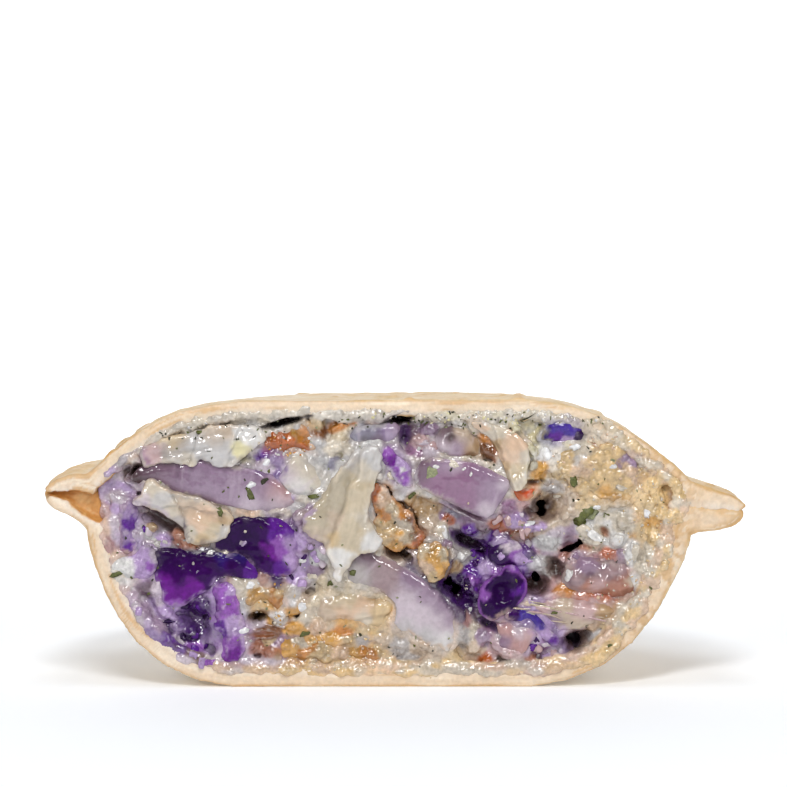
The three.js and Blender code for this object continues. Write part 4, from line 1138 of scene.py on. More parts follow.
class Scatter:
    """Many small things of one kind, gathered into one mesh."""

    def __init__(self, steps, seed, squareness=1.0, rough=0.25, curl=0.0):
        self.shape, self.faces = ball(steps)
        self.shape = np.sign(self.shape) * np.abs(self.shape) ** squareness
        self.rng = np.random.default_rng(seed)
        self.rough = rough
        self.curl = curl
        self.parts = []
        self.colours = []

    def put(self, middle, facing, size, colour, turn=None):
        """One thing: its half sizes along, across and out, and its turn in degrees."""
        rng = self.rng
        out = np.asarray(facing, float) + rng.normal(0, 0.15, 3)
        out /= np.linalg.norm(out)
        angle = rng.uniform(0, 2 * math.pi) if turn is None else math.radians(turn)
        level = np.cross(out, [0, 0, -1])
        level /= np.linalg.norm(level)
        upright = np.cross(level, out)
        upright *= np.sign(upright[2])
        along = math.cos(angle) * level + math.sin(angle) * upright
        across = np.cross(out, along)
        shifted = self.shape + rng.uniform(0, 90, 3)
        dent = noise(shifted, 0.9) + 0.5 * noise(shifted, 0.4)
        local = self.shape * (1 + self.rough * dent)[:, None] * size
        local[:, 2] += self.curl * rng.uniform(-1, 1) * local[:, 0] ** 2 / size[0]
        points = middle + local[:, :1] * along + local[:, 1:2] * across + local[:, 2:] * out
        self.parts.append((points, self.faces))
        # painted light and shade: bulges lighter and dents darker, with a random tone for each thing
        shade = 1 + 0.2 * dent + rng.normal(0, 0.06)
        self.colours.append(np.asarray(colour) * shade[:, None])

    def lay(self, ground, x, z, size, colour, turn=None, sink=0.3, on_pieces=1):
        """One thing laid on what shows at a place of the cut face."""
        spot = ground.meet(x, z)
        if spot is None or (spot.on_piece and self.rng.uniform() > on_pieces):
            return
        if spot.place[1] > CUT + DEEPEST_SMALL:
            return
        out = 0.5 * FORWARDS + 0.5 * spot.facing
        self.put(spot.place - sink * size[2] * out, out, size, colour, turn)

    def fill(self, ground, areas, sizes, **laying):
        """Areas of the face: x, height, half width, half height, how many, and colours to draw from."""
        for x, z, wide, high, count, names in rows(areas, 5):
            palette = [COLOURS[name] for name in names]
            for _ in range(int(count)):
                away = math.sqrt(self.rng.uniform())
                angle = self.rng.uniform(0, 2 * math.pi)
                at_x = x + wide * away * math.cos(angle)
                at_z = z + high * away * math.sin(angle)
                size = np.array([self.rng.uniform(*limits) for limits in sizes])
                colour = palette[self.rng.integers(len(palette))]
                self.lay(ground, at_x, at_z, size, colour, **laying)

    def show(self, name, material, slot):
        mesh = mesh_from(name, *joined(self.parts))
        paint(mesh, np.concatenate(self.colours))
        return show(name, mesh, MATERIALS[material], slot)


# Lumps of the mass that stand out: x, height, half sizes along and across, turn in degrees, colour, and how
# much deeper than the others it lies, if at all
# Painted shade: the dusk lump at -40.4, 16.4
MOUNDS = """
28.2 24.1 2 1.2 10 dusk 1.6, 42.2 33.4 1.6 1.5 0 wheat, 43.4 31.2 1.3 1.5 0 wheat, 42 30 1.4 1.6 0 sand,
43 27.4 1.1 1.7 0 gold, 42.6 24.6 1.1 1.7 10 wheat, 41.8 22 1 1.4 10 ivory, 43.8 28.8 1 1.4 0 wheat,
-23.6 42 1.4 1 0 white, -22.4 40.8 1 0.8 30 white, -21 38.7 1.9 1.1 -10 violet,
-22.8 39.2 0.9 0.7 0 pale_lilac, -24 36.6 0.9 0.8 0 grey, -21 36.5 1.2 0.8 10 pale_lilac,
-19.6 37.8 0.9 0.9 0 heather, -24.6 38.4 0.8 0.6 0 plum, -41 25.4 1.4 1.4 0 silver,
-38 24 0.8 0.6 20 lilac, -39.6 26.4 0.9 0.7 0 tan, -45.4 31 1 2 60 pale_lilac, -35 24.8 1.9 0.8 -38 clay,
-33.4 24 1.2 0.6 -15 rust, -46 26 0.8 2.2 0 pale_lilac, -46.8 21.6 0.8 1 0 blush,
-42.6 14.6 1 2.2 8 pale_lilac, -41 12 0.9 1.6 20 thistle, -39.4 9.6 2.2 1.4 -40 thistle,
-36.4 7.2 2.2 1.1 -25 pale_lilac, -40.4 16.4 1.5 1.3 0 dusk, -38.6 14.4 1.2 1 0 heather,
-36.9 14.6 0.8 0.6 0 lilac, -37.4 12.2 1.3 0.9 -30 lilac, -33 5.8 1.5 0.9 0 orchid,
-31.2 5 1.4 0.7 -10 lilac, -29.7 8 1.3 1.5 0 heather, -35 10.4 1.2 1.5 -30 heather,
-31.8 13.2 1.6 1.3 30 purple, -33.4 9 1 1.5 0 plum, -38 6.4 2 0.8 -25 ivory,
-34 4.4 2.4 0.6 -12 pale_lilac, -25.4 16.8 0.9 1.5 20 ivory, -24.8 13 0.7 1.4 0 silver,
-23 9.7 1.8 0.9 0 pale_lilac, -18.8 11.6 1.1 1 0 white, -21 9 1.9 0.7 0 brown, -23 7 1.5 1.5 0 clay,
-20 5.6 2 0.9 0 clay, -20.4 7.6 1 0.8 0 sand, -22 4.2 3.4 0.5 0 pale_lilac, -16.6 15.6 1.3 1.1 20 grey,
-15 14.2 1.5 1.2 0 beige, -17.2 14 0.8 0.9 0 silver, -14.2 12.6 1.1 0.9 0 ivory, -16.6 12.4 1 0.8 0 gold,
-14.8 10.9 1.6 0.9 15 ivory, -16.4 9.8 1.5 0.8 20 gold, -12.4 9.8 1.1 0.9 0 peach,
-10.4 9.8 1 0.8 0 ivory, -10.6 8 1.9 0.9 -10 gold, -8.6 9 1.7 0.7 -12 amber, -5.4 7.8 1.2 0.8 0 grey,
-7.6 7.6 1.5 0.8 0 sand, -1.6 8.2 1.5 1.3 0 beige, 1.4 7.2 1.8 1.5 0 grey, 4 6.2 1.7 1.3 -20 beige,
6.4 5.2 1.7 1 0 beige, 9.4 4.8 1.6 1 0 sand, 2 4.6 2.1 0.8 0 grey, -2 3.8 2.6 0.6 0 beige,
11.4 8.6 1.1 1.8 10 grey, 11.4 11 0.9 1.3 0 blush, 13 6.6 1.3 1 0 beige, -12.4 17.6 2 1.3 20 grey,
-9.2 16.8 1.3 0.8 0 ivory, -13 19.6 1.5 1.1 30 mauve, -12 21.4 1.3 1.1 0 silver, -13.8 23 1.3 1 0 dusk,
-16.2 17.8 1.2 0.9 20 lilac, -14.8 16.8 0.9 0.8 0 pale_lilac, -15.2 24.8 1 1.2 0 purple,
-14.4 21 0.9 1.3 0 heather, -12 22.9 1 0.7 0 thistle, -19.6 17.6 0.8 0.7 0 purple,
-22.4 17.6 1.3 0.7 0 ivory, -8.4 41.3 1.8 0.9 35 cream, -10.2 39.6 1.6 1.3 30 ivory,
-11.7 37.6 1.1 1.1 0 silver, -9.6 37 1.3 1 40 slate, -11.4 35 0.9 0.9 0 silver, -7.8 39.4 1.5 1.1 0 ivory,
-12 41.8 0.9 0.9 0 brown, -9.2 42.8 1.6 0.5 20 amber, -5.9 44.2 1.3 0.4 30 amber, -3.6 44 0.8 0.8 0 peach,
-12.8 43.4 1.1 1 0 sand, -14.5 31.2 1.5 0.8 15 ivory, -16 29.6 1.7 0.8 20 silver,
-18.6 28.8 1.3 0.6 0 ivory, -23.2 28.6 1 0.7 0 peach, -6.4 40.2 0.9 0.8 0 grey, -8.2 38.2 0.8 0.7 0 lemon,
-26.6 28.8 1.2 0.5 20 peach, -0.9 35 1.1 0.9 -50 silver, 0.4 33 1.1 1 -50 grey, 1.1 31.6 0.9 0.9 0 silver,
2.6 30.8 0.8 0.8 0 tan, -1.7 34 0.7 0.6 0 white, 5.4 29.4 1.9 2.6 -10 tan, 5.8 26.4 2 1.8 0 beige,
7.8 26 0.9 1.2 0 ivory, 9 27.6 0.8 0.7 0 rust, 10.2 28.6 1 0.7 0 slate, 12.2 25.8 1.4 1.1 20 violet,
8.4 24.4 0.9 0.8 0 silver, 14.2 26.6 1.4 0.7 -20 dusk, 11.6 22 1.1 1 0 grey, 4.4 40.4 1.5 1.1 0 pink,
6 39.2 1.2 0.9 0 pale_lilac, 5.8 42.4 1.7 0.9 0 mauve, 3.4 38.8 0.9 0.8 0 rose, 2.6 41.8 1 1.2 0 dusk,
15.2 41.2 0.7 1.5 30 amber, 16.8 38 0.6 1.6 18 clay, 15.4 39 1 1.2 30 brown, 4.6 32.6 0.7 0.5 0 white,
10.4 36.8 0.8 0.7 0 white, 24 38.4 1.5 1.3 0 white, 23.4 36 1.2 1 0 gold, 27.2 34.9 1.7 0.6 -15 sand,
29.3 33.6 0.7 1.4 10 tan, 28.8 31 0.9 1.9 0 beige, 28 28.2 1 1.4 -20 beige, 26 32.8 1.7 0.9 -10 grey,
22.8 35 1.3 0.6 0 gold, 25.8 26.8 1.4 0.8 20 beige, 33 24.6 1.7 1.6 -30 ivory, 36.4 24.2 1.2 1 0 white,
38.9 22.2 0.7 2 -8 white, 31.6 26 1 0.8 0 white, 37.6 27 1.5 1.2 0 ivory, 25 24 1.5 1 0 silver,
23.6 26.6 1.2 0.8 0 lilac, 26.2 25.4 1.4 0.8 10 pale_lilac, 20 27.4 1.8 1 20 lilac,
19 29.6 1.7 1.3 0 rose, 22 26.6 1.1 0.8 0 lilac, 17 26.6 1.9 0.8 -15 rust, 20.4 25.2 2.1 0.7 -8 brown,
23 29.4 0.6 1.4 20 grey, 21 30 0.9 1 0 pink, 25.2 19.4 1.1 1.3 0 grey, 23.6 20.4 1 0.7 0 silver,
39.4 17.4 0.8 1.1 0 white, 28 15.8 1.7 0.7 0 amber, 40.8 19.6 1 1.4 0 ivory, 13 19 1.2 1.1 0 violet,
15 19.4 1.2 0.9 0 lilac, 16.6 18.9 0.9 0.7 0 orchid, 12.4 16.4 0.9 0.8 0 purple, 13.6 15.4 0.9 1 0 plum,
12.8 17.6 0.8 0.7 0 orchid, 10.4 12.8 1.1 0.7 0 purple, 9.4 16.2 0.5 0.4 0 lilac, 10 19.8 0.8 0.6 0 tan,
9.4 22.2 0.7 0.7 0 grey, 15.4 9 1 0.9 0 rose, 14.4 8 1.1 1.2 0 thistle, 15.2 4.6 0.8 0.6 0 orange,
18.4 4.4 1.5 0.8 0 umber, 12.6 8.8 1 1.4 0 ivory, 24.2 6.4 1.5 1.1 20 rose, 26 4.6 1.9 1 0 lilac,
22.4 4.4 1.2 0.7 0 clay, 33 8.4 1.3 0.9 0 silver, 34.2 7 1.7 1.1 0 beige, 24.6 8.4 0.9 0.7 0 rose,
28 4.6 1.2 0.7 0 thistle, 31.4 5.6 1.4 0.7 0 beige, 35.6 9.6 1.4 0.9 0 sand, 38 12.6 1.6 1.1 35 ivory
"""


def put_mounds(lumps):
    for x, z, along, across, turn, (colour, *deeper) in rows(MOUNDS, 5):
        size = np.array([along, across, 0.9 * min(along, across) + 0.3])
        depth = CUT + 0.8 * size[2] + lumps.rng.uniform(-0.2, 0.9) + sum(map(float, deeper))
        lumps.put((x, depth, z), FORWARDS, size, COLOURS[colour], turn)


BEAD_LUMPS = 480
DENSE_BEAD = 20  # from this x to the right the bead is twice as dense
LUMP_TRIES = 420
SMEAR_TRIES = 3000
BESIDE = 0.9  # how far from a joint sauce runs over it


def bead_colour(place, middle, pick, outer_row, rng):
    """Warm at the right and along the foot, ivory under the lid, and elsewhere as the mass is there."""
    warm = COLOURS[("wheat", "peach", "wheat" if outer_row else "peach", "ivory")[rng.integers(4)]]
    share = 0.9 * ease(-38, -24, place.x) * max(0.9 * ease(12, 8, place.z), ease(24, 32, place.x))
    colour = mix(zone_colours(middle[None], pick)[0], warm, share)
    return tinted(colour, "ivory", 0.7 * ease(38, 42, place.z))


def put_bead(lumps):
    """Sauce that has run along the inner edge of the pastry: a row over the joint, and one further out."""
    rng = lumps.rng
    start = Vector((0, CUT + 0.5, 0.5 * PIE_TOP))
    for number, angle in enumerate(np.linspace(0, 2 * math.pi, BEAD_LUMPS, endpoint=False)):
        place = CRUST_TREE.ray_cast(start, Vector((math.cos(angle), 0, math.sin(angle))))[0]
        size = rng.uniform((0.7, 0.45, 0.45), (1.8, 0.9, 0.8))
        pick = rng.uniform(0, 1, 1)
        if place is None or place.x < FACE_LEFT or (place.x < DENSE_BEAD and number % 4 > 1):
            continue
        outer_row = number % 2
        low = ease(10, 6, place.z)
        size *= (1 + 1.4 * low, 1, 1 - 0.3 * low)
        spread = low + 0.6 * ease(-36, -42, place.x) + 1.8 * rng.uniform(0.3, 1) * ease(20, 32, place.x)
        spread = outer_row * (spread + 0.9 * rng.uniform(0, 1) * ease(36, 42, place.z))
        middle = np.array(place) + (start - place).normalized() * (0.35 - spread)
        middle[1] = CUT + rng.uniform(0.1, 0.6) - 0.1 * spread - 0.15 * ease(24, 32, place.x)
        facing = CRUST_TREE.find_nearest(place)[1]
        turn = math.degrees(math.atan2(facing.x, -facing.z))
        lumps.put(middle, FORWARDS, size, bead_colour(place, middle, pick, outer_row, rng), turn)


def shared_pick(x, z, rng):
    """Which of its zone's colours a lump takes, much the same for lumps near each other."""
    place = np.array([[x, CUT, z]])
    return np.clip(0.5 + 0.7 * layered(place, 4, CORE_SEED + 8) + rng.uniform(-0.25, 0.25), 0, 1)


def put_lumps(lumps, ground):
    """Lumps of sauce on the open face of the mass."""
    rng = lumps.rng
    for _ in range(LUMP_TRIES):
        x, z = rng.uniform((FACE_LEFT, FACE_LOW), (FACE_RIGHT, PIE_TOP))
        size = rng.uniform(0.4, 1) ** 2 * 1.5 * rng.uniform(0.7, 1.4, 3)
        pick = shared_pick(x, z, rng)
        spot = ground.meet(x, z)
        if spot is not None and not spot.on_piece and spot.place[1] < CUT + DEEPEST_LUMP:
            lumps.lay(ground, x, z, size, zone_colours(spot.place[None], pick)[0], sink=0.45)


def put_smears(lumps, ground):
    """Sauce that has run up the pieces from the joints beside them."""
    rng = lumps.rng
    sides = ((BESIDE, 0), (-BESIDE, 0), (0, BESIDE), (0, -BESIDE))
    for _ in range(SMEAR_TRIES):
        x, z = rng.uniform((FACE_LEFT, FACE_LOW), (FACE_RIGHT, PIE_TOP))
        size = rng.uniform((0.5, 0.35, 0.3), (1.3, 0.8, 0.55))
        pick = shared_pick(x, z, rng)
        lift = rng.uniform(0.3, 1.0)
        spot = ground.meet(x, z)
        if spot is None or spot.on_piece or spot.place[1] > CUT + DEEPEST_SMEAR:
            continue
        around = [ground.meet(x + dx, z + dz) for dx, dz in sides]
        fronts = [other.place[1] for other in around if other is not None and other.on_piece]
        if fronts:
            lift *= max(0, spot.place[1] - min(fronts))
            lumps.lay(ground, x, z, size, zone_colours(spot.place[None], pick)[0], sink=-lift / size[2])


def soft_lumps(ground):
    """All the sauce that is added to the mass."""
    lumps = Scatter(steps=2, seed=101, rough=0.45)
    put_mounds(lumps)
    put_bead(lumps)
    put_lumps(lumps, ground)
    put_smears(lumps, ground)
    return lumps


SKIRT = 0.8  # how far sauce reaches round a piece


def skirts():
    """Sauce that holds the pieces: slabs a little wider than they are, and a little behind their fronts."""
    parts = []
    for piece in pieces:
        line = piece.line + line_normals(piece.line) * SKIRT
        line = frayed(line, 0.3, piece.seed + 20)
        uneven = 0.5 * noise(in_face(line), 2, piece.seed + 21)
        depth = piece.front + max(piece.proud, piece.dent + 0.3) + uneven
        parts.append(slab(line, np.maximum(depth, CUT - 0.6), piece.back))
    return parts


# Caves in the mass, painted dark as shade: x, height, half sizes along and across, turn in degrees, depth,
# and the colour of the painted shade in them
HOLES = """
24.6 29.4 2.1 1.7 25 2.2 umber, 29.8 7.6 1.8 1.4 20 2.2 umber, 23.4 16.6 1.9 1.2 10 2.6 umber,
28 21.8 1.8 0.7 50 1 brown, 31 23 2 0.5 -5 1 brown, 13.2 23.2 3 0.8 -25 3.5 plum,
9.8 15.4 2.6 0.9 -45 2.5 plum, 0.2 22 1.6 0.8 -8 2 umber, 1.2 44.2 1.9 0.7 15 4 black,
1.7 41.6 0.8 1.6 0 1.8 plum, -18 43.6 3 0.4 14 4 black, -42.2 35.5 1.6 0.9 40 3 umber,
-38.6 27.9 3 0.8 -28 1.8 umber, -33 11.2 2.2 2.6 -20 1.8 plum, -22.4 11.7 1.4 0.7 12 2.5 umber,
16 10.2 1.6 0.6 -20 2 plum, 34.6 25.4 0.6 0.8 30 1.4 brown, -21.6 8.7 1.8 0.4 0 1.2 brown,
9.1 41.2 0.7 0.9 0 1.4 umber, 22.6 33.8 1.2 0.4 0 1.6 umber, 12.4 28.8 2.2 0.35 -25 1.6 dusk,
26.6 19.4 1.2 1.6 20 2.2 umber, -4.8 22.3 1.7 0.6 10 1.4 brown
"""


def dug(points):
    """How deep each point of the mass lies in a cave, and the colour of the painted shade down there."""
    shift = 0.6 * layered(points, 1.9, CORE_SEED + 11)
    depth = np.zeros(len(points))
    colour = np.zeros((len(points), 3))
    for x, z, along, across, turn, hole, (name,) in rows(HOLES, 6):
        cosine, sine = math.cos(math.radians(turn)), math.sin(math.radians(turn))
        run = (points[:, 0] - x) * cosine + (points[:, 2] - z) * sine
        rise = (points[:, 2] - z) * cosine - (points[:, 0] - x) * sine
        own = hole * ease(1.9, 0.1, np.hypot(run / along, rise / across) + shift)
        colour[own > depth] = COLOURS[name]
        depth = np.maximum(depth, own)
    return depth * ease(7, 4, points[:, 1] - CUT), colour


def lump_colours(lumps, points, where, base):
    """Gives the points on a lump that lump's own colour."""
    tree = tree_of(lumps.parts)
    own = np.array([colours.mean(axis=0) for colours in lumps.colours])
    colour = base.copy()
    for i in np.flatnonzero(where):
        _, _, face, away = tree.find_nearest(Vector(points[i]))
        share = float(ease(1.1, 0.4, away))
        colour[i] += share * (own[face // len(lumps.faces)] - colour[i])
    return colour


def stained_by_pieces(points, where, base):
    """Lets the colours of the large pieces run into the mass beside them."""
    places = np.concatenate([piece.points for piece in pieces])
    own = np.concatenate([piece.tints for piece in pieces])
    tree = KDTree(len(places))
    for i, place in enumerate(places):
        tree.insert(place, i)
    tree.balance()
    colour = base.copy()
    uneven = ease(-0.5, 0.6, layered(points, 2, CORE_SEED + 9))
    for i in np.flatnonzero(where):
        _, nearest, away = tree.find(points[i])
        colour[i] += 0.75 * uneven[i] * max(0, 1 - away / 1.5) * (own[nearest] - colour[i])
    return colour


PIT = 1.2  # how deep pits in the mass are before the sauce fills them
COLOUR_BLUR = 4  # how many times colours run into their neighbours


def sauce_colours(mesh, points, lumps, front, pick):
    """The mass's own colours with those of its lumps and of the pieces beside it, run into each other."""
    colour = lump_colours(lumps, points, front > 0, zone_colours(points, pick))
    colour = stained_by_pieces(points, front > 0, colour)
    edges = edges_of(mesh)
    for _ in range(COLOUR_BLUR):
        colour = 0.5 * colour + 0.5 * neighbour_mean(edges, colour)
    return colour


def shaded(mesh, points, colour, sunk, cave_shade):
    """Painted light and shade: paler ridges, darker dips, and painted shade in the caves and on what lies
    far behind the cut.
    """
    ridges = standing_out(mesh)
    colour = tinted(colour, "white", 0.15 * ease(0.03, 0.2, ridges))
    colour = colour * (1 - 0.35 * ease(0.02, 0.2, -ridges))[:, None]
    colour = tinted(colour, "dusk", 0.35 * ease(0.05, 0.25, -ridges))
    # painted shade: the cave colour round and inside the caves, and umber far behind the cut
    colour = mix(colour, 3 * cave_shade, 0.6 * ease(0.1, 1, sunk))
    colour = mix(colour, cave_shade, 0.85 * ease(0.8, 2.4, sunk))
    return tinted(colour, "umber", 0.7 * ease(2, 5.5, points[:, 1] - CUT))


def dress_core(lumps):
    parts = [node_arrays("filling_core")] + skirts() + lumps.parts
    mesh = fine_mesh("filling_core", parts, CORE_VOXEL, CORE_REACH)
    points = points_of(mesh)
    front = ease(7, 5, points[:, 1] - CUT)
    coarse, label = granules(points + layered(points, 2.5, CORE_SEED + 7)[:, None], 1.7, CORE_SEED)
    fine, fine_label = granules(points, 0.8, CORE_SEED + 1)
    swell = 0.3 * layered(points, 2.4, CORE_SEED + 3) + 0.28 * layered(points, 1.0, CORE_SEED + 2)
    crumb = crumbliness(points) * (0.2 * coarse + 0.14 * fine - 0.18)
    raise_relief(mesh, 0.15 + front * (swell + crumb))
    points = points_of(mesh)
    sunk, cave_shade = dug(points)
    pit = np.clip(points[:, 1] - CUT - PIT, 0, 4) * front
    points[:, 1] += sunk - 0.6 * pit
    put_points(mesh, points)
    cloud = layered(points, 2.5, CORE_SEED + 4)
    pick = np.clip(0.5 * label + 0.3 * fine_label + 0.1 + 0.25 * cloud, 0, 1)
    colour = sauce_colours(mesh, points, lumps, front, pick)
    speckle = 0.14 * front * (fine_label - 0.5) + 0.2 * layered(points, 0.8, CORE_SEED + 6)
    paint(mesh, shaded(mesh, points, colour * (1 + speckle)[:, None], sunk, cave_shade))
    return show("filling_core", mesh, MATERIALS["creamy_sauce"], "creamy_filling", ["filling_core"])


core = dress_core(soft_lumps(Ground(node_arrays("filling_core"))))
face = Ground(mesh_arrays(core.data))


# Small things scattered over the cut face

def scatter_fibres():
    fibres = Scatter(steps=2, seed=102, rough=0.3, curl=0.4)
    fan = "27 12.6 7 2 12 cream beige pink ivory"
    fibres.fill(face, fan, ((1.5, 3.2), (0.14, 0.24), (0.1, 0.16)), turn=-10, sink=0.3)
    fibres.show("chicken_fibres", "chicken", CHICKEN)


def scatter_cabbage():
    scraps = Scatter(steps=2, seed=103, squareness=0.6, rough=0.4, curl=0.5)
    areas = """
        -34 10 3 4 10 plum purple violet, -31 5.4 3 1.4 8 orchid lilac violet,
        -17 22 4 5 6 violet lilac purple, 15 21 3 3 6 violet purple lilac, 11 15 3 3 8 plum purple violet,
        23 9 4 2.5 6 violet lilac purple, -42 23 2 4 5 violet lilac mauve
    """
    scraps.fill(face, areas, ((0.4, 1.1), (0.3, 0.7), (0.15, 0.35)), sink=0.4, on_pieces=0.2)
    scraps.show("cabbage_scraps", "red_cabbage", CABBAGE)


def scatter_onion():
    scraps = Scatter(steps=2, seed=104, squareness=0.55, rough=0.3)
    areas = """
        -39 25 3 2 6 grey white pale_lilac, -14 20 3 4 5 pale_lilac lilac white,
        20 26 4 3 10 mauve pink pale_lilac, 31 20 4 2 8 pink pale_lilac mauve,
        24 6 4 2 8 pink pale_lilac mauve, -40 11 4 5 3 pale_lilac lilac, 6 40 3 2 6 pale_lilac white pink
    """
    scraps.fill(face, areas, ((0.4, 1.0), (0.3, 0.7), (0.2, 0.4)), sink=0.4, on_pieces=0.1)
    scraps.show("onion_scraps", "red_onion", ONION)


def scatter_crumbs():
    crumbs = Scatter(steps=1, seed=105, squareness=0.8, rough=0.35)
    areas = """
        33 36 9 6 60 wheat peach ivory, 41 26 4 9 50 sand ivory wheat, 38 14 5 6 40 sand ivory peach,
        -9 5.5 9 3 60 wheat cream peach, -20 14 4 4 24 gold white sand,
        14 44.6 22 1.4 90 ivory lemon white, -26 42 10 2 40 silver grey ivory,
        -17 40 4 2 30 amber gold white, 0 26 46 22 50 ivory beige grey
    """
    crumbs.fill(face, areas, ((0.12, 0.4), (0.1, 0.32), (0.1, 0.3)), sink=0.2, on_pieces=0.25)
    crumbs.show("filling_crumbs", "creamy_sauce", "creamy_filling")


# Pale curds of the sauce that stand out: x, height, half sizes along and across, turn in degrees
CURDS = """
-23.4 33.4 0.9 0.6 20, -29.8 22.3 0.8 0.45 15, -31.4 22.7 0.5 0.35 0, -27.6 22.3 0.6 0.4 -20,
9.8 36.9 1 0.6 -15, 11.4 36.2 0.5 0.3 40, 12.6 35.4 0.4 0.25 60, 6.9 36.5 0.6 0.4 0, 24.4 38.3 1.6 1.2 20,
31.2 25.9 1.2 0.9 -30, 33 24.8 1.3 0.9 -35, 34.6 23.8 1 0.7 -30, 39.4 22.4 0.7 1.5 -8, 39.2 17.8 0.8 1 0,
37.3 32.9 1.2 0.5 -20, 29 18.6 1.2 1.1 0, 22.2 27 1 0.5 15, 8.4 25.6 0.6 1.1 10, -0.6 34.9 0.8 0.5 -50,
10.9 21.6 0.8 0.8 0, 12.7 12.6 0.45 0.35 0, 9.4 17 0.4 0.4 0, 11.9 16.4 0.4 0.4 0, -23.6 16.7 1 0.6 10,
-18.6 12.2 0.8 0.6 0, -19.6 10.4 0.6 0.45 30, -14.8 13.4 1.2 0.8 15, -24.6 9.4 1 0.5 0,
-13.4 18.4 0.9 0.6 25, -11.6 20 0.6 0.5 0, -20.8 37.2 0.8 0.6 30, 26.8 31.4 0.7 0.5 0,
33.4 29.8 0.9 0.5 30, 35.8 36.4 0.7 0.5 0, 29.6 39.6 0.8 0.5 10, 41.4 28.6 0.6 0.9 0, 36.6 10.6 0.8 0.5 30
"""


def scatter_curds():
    curds = Scatter(steps=3, seed=107, rough=0.4)
    for x, z, along, across, turn, _ in rows(CURDS, 5):
        colour = COLOURS[("chalk", "white", "ivory")[curds.rng.integers(3)]]
        size = np.array([along, across, 0.5 * min(along, across) + 0.15])
        curds.lay(face, x, z, size, colour, turn, sink=0.5)
    curds.show("sauce_curds", "creamy_sauce", "creamy_filling")


LARGE_HERB = 0.85  # of the size that the large ones are drawn with


def scatter_herbs():
    herbs = Scatter(steps=2, seed=106, squareness=0.7, rough=0.8, curl=0.3)
    areas = """
        0 25 46 22 190 leaf dark_leaf pale_leaf, 12 44 24 1.5 60 leaf dark_leaf,
        -28 41 12 2.5 34 leaf dark_leaf
    """
    herbs.fill(face, areas, ((0.1, 0.36), (0.06, 0.18), (0.05, 0.08)), sink=-0.5, on_pieces=0.6)
    large = """
        31 28.8 1.7 1.4 50 leaf, 32.6 29 1.5 1.1 60 pale_leaf, 30.6 26.6 0.9 0.5 60 leaf,
        6.1 35.6 1.6 0.9 82 pale_leaf, -45.4 18.7 1.1 0.5 5 leaf, -23.6 31.9 1.1 0.5 -65 leaf,
        -21.2 34.1 0.7 0.4 30 dark_leaf, -28.4 29.2 0.8 0.4 -70 leaf, -13 31.6 1.1 0.4 15 leaf,
        2.9 31.8 0.8 0.5 40 leaf, -10.4 17.2 0.9 0.4 50 leaf, -6.7 19 0.7 0.5 10 leaf,
        -14.6 8.8 1 0.5 10 leaf, 29.3 34.2 0.5 1 10 leaf, -31.6 42 0.9 0.35 5 leaf,
        21.6 44.4 1.2 0.15 25 dark_leaf, 35.4 7 0.6 0.4 0 leaf, 26.2 12.4 0.6 0.25 0 leaf
    """
    for x, z, along, across, turn, (green,) in rows(large, 5):
        size = np.array([LARGE_HERB * along, LARGE_HERB * across, 0.1])
        herbs.lay(face, x, z, size, COLOURS[green], turn, sink=-0.8)
    herbs.show("herb_flakes", "herb", "creamy_filling")


scatter_fibres()
scatter_cabbage()
scatter_onion()
scatter_crumbs()
scatter_curds()
scatter_herbs()


# Floor, light and camera, in metres

CAMERA_RISE = math.radians(5)
CAMERA_AWAY = 0.62
VIEW_WIDTH = 0.1284  # across the picture at the cut
AIM = Vector((-0.0001, CUT * MM, 0.0484))
SENSOR = 0.036


def add_camera():
    data = bpy.data.cameras.new("camera")
    data.sensor_width = SENSOR / MM
    data.lens = SENSOR / MM * CAMERA_AWAY / VIEW_WIDTH
    data.clip_start = 0.01
    camera = put_in_scene("camera", data)
    towards = Vector((0, math.cos(CAMERA_RISE), -math.sin(CAMERA_RISE)))
    camera.location = AIM - CAMERA_AWAY * towards
    camera.rotation_euler = towards.to_track_quat("-Z", "Y").to_euler()
    bpy.context.scene.camera = camera


def add_light(name, place, target, size, watts):
    data = bpy.data.lights.new(name, "AREA")
    data.shape = "DISK"
    data.size = size
    data.energy = watts
    light = put_in_scene(name, data)
    light.location = place
    light.rotation_euler = (Vector(target) - Vector(place)).to_track_quat("-Z", "Y").to_euler()


PIE_MIDDLE = (0, 0, 0.02)
WALL_MIDDLE = (0, 1.4, 0.5)

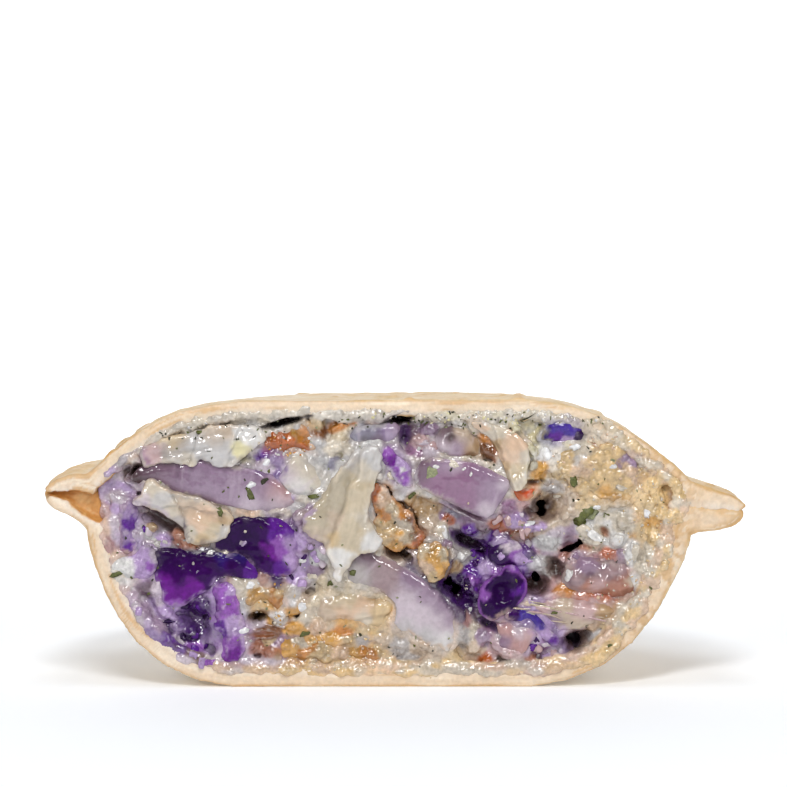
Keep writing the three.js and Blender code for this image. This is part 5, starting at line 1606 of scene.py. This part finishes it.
# The lamps: place, what it shines at, width and watts
LIGHTS = {
    "key": ((-0.06, -0.7, 0.75), PIE_MIDDLE, 0.2, 2.5),
    "glint_right": ((0.35, -0.8, 0.45), PIE_MIDDLE, 0.18, 1.5),
    "glint_left": ((-0.35, -0.8, 0.4), PIE_MIDDLE, 0.18, 1.5),
    "glint_high": ((0.05, -0.6, 0.8), PIE_MIDDLE, 0.18, 1.5),
    "overhead": ((0, -0.12, 1.0), PIE_MIDDLE, 0.4, 2),
    "backdrop": ((0, 0.3, 0.9), WALL_MIDDLE, 1, 12),
}

FLOOR_FRONT, FLOOR_BACK, SWEEP, WALL_TOP = -3.0, 0.7, 0.7, 3.0
FLOOR_HALF_WIDTH = 4.0
FLOOR_COLOUR, FLOOR_GLOW = (0.93, 0.96, 1, 1), 0.13
WHITE = (1, 1, 1, 1)
SKY_STRENGTH = 0.1


def add_floor():
    """A pale sweep: a floor that curves up into a wall behind."""
    turns = np.linspace(0, math.pi / 2, 13)
    arc = [(FLOOR_BACK + SWEEP * math.sin(t), SWEEP * (1 - math.cos(t))) for t in turns]
    profile = [(FLOOR_FRONT, 0), *arc, (FLOOR_BACK + SWEEP, WALL_TOP)]
    points = [(side * FLOOR_HALF_WIDTH, y, z) for y, z in profile for side in (-1, 1)]
    faces = [(2 * i, 2 * i + 1, 2 * i + 3, 2 * i + 2) for i in range(len(profile) - 1)]
    mesh = bpy.data.meshes.new("floor")
    mesh.from_pydata(points, [], faces)
    mesh.polygons.foreach_set("use_smooth", np.ones(len(faces), bool))
    material = bpy.data.materials.new("floor")
    material.use_nodes = True
    shader = material.node_tree.nodes["Principled BSDF"]
    shader.inputs["Base Color"].default_value = FLOOR_COLOUR
    shader.inputs["Roughness"].default_value = 0.9
    shader.inputs["Emission Color"].default_value = WHITE
    shader.inputs["Emission Strength"].default_value = FLOOR_GLOW
    mesh.materials.append(material)
    floor = put_in_scene("floor", mesh)
    floor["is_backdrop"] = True


def add_surroundings():
    world = bpy.data.worlds.new("studio")
    world.use_nodes = True
    background = world.node_tree.nodes["Background"]
    background.inputs["Color"].default_value = WHITE
    background.inputs["Strength"].default_value = SKY_STRENGTH
    bpy.context.scene.world = world
    bpy.context.scene.view_settings.view_transform = "Standard"


add_camera()
add_floor()
add_surroundings()
for name, lamp in LIGHTS.items():
    add_light(name, *lamp)

boxes = {"cad": cad_box, "visual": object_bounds()}
{name: [list(corner) for corner in box] for name, box in boxes.items()}
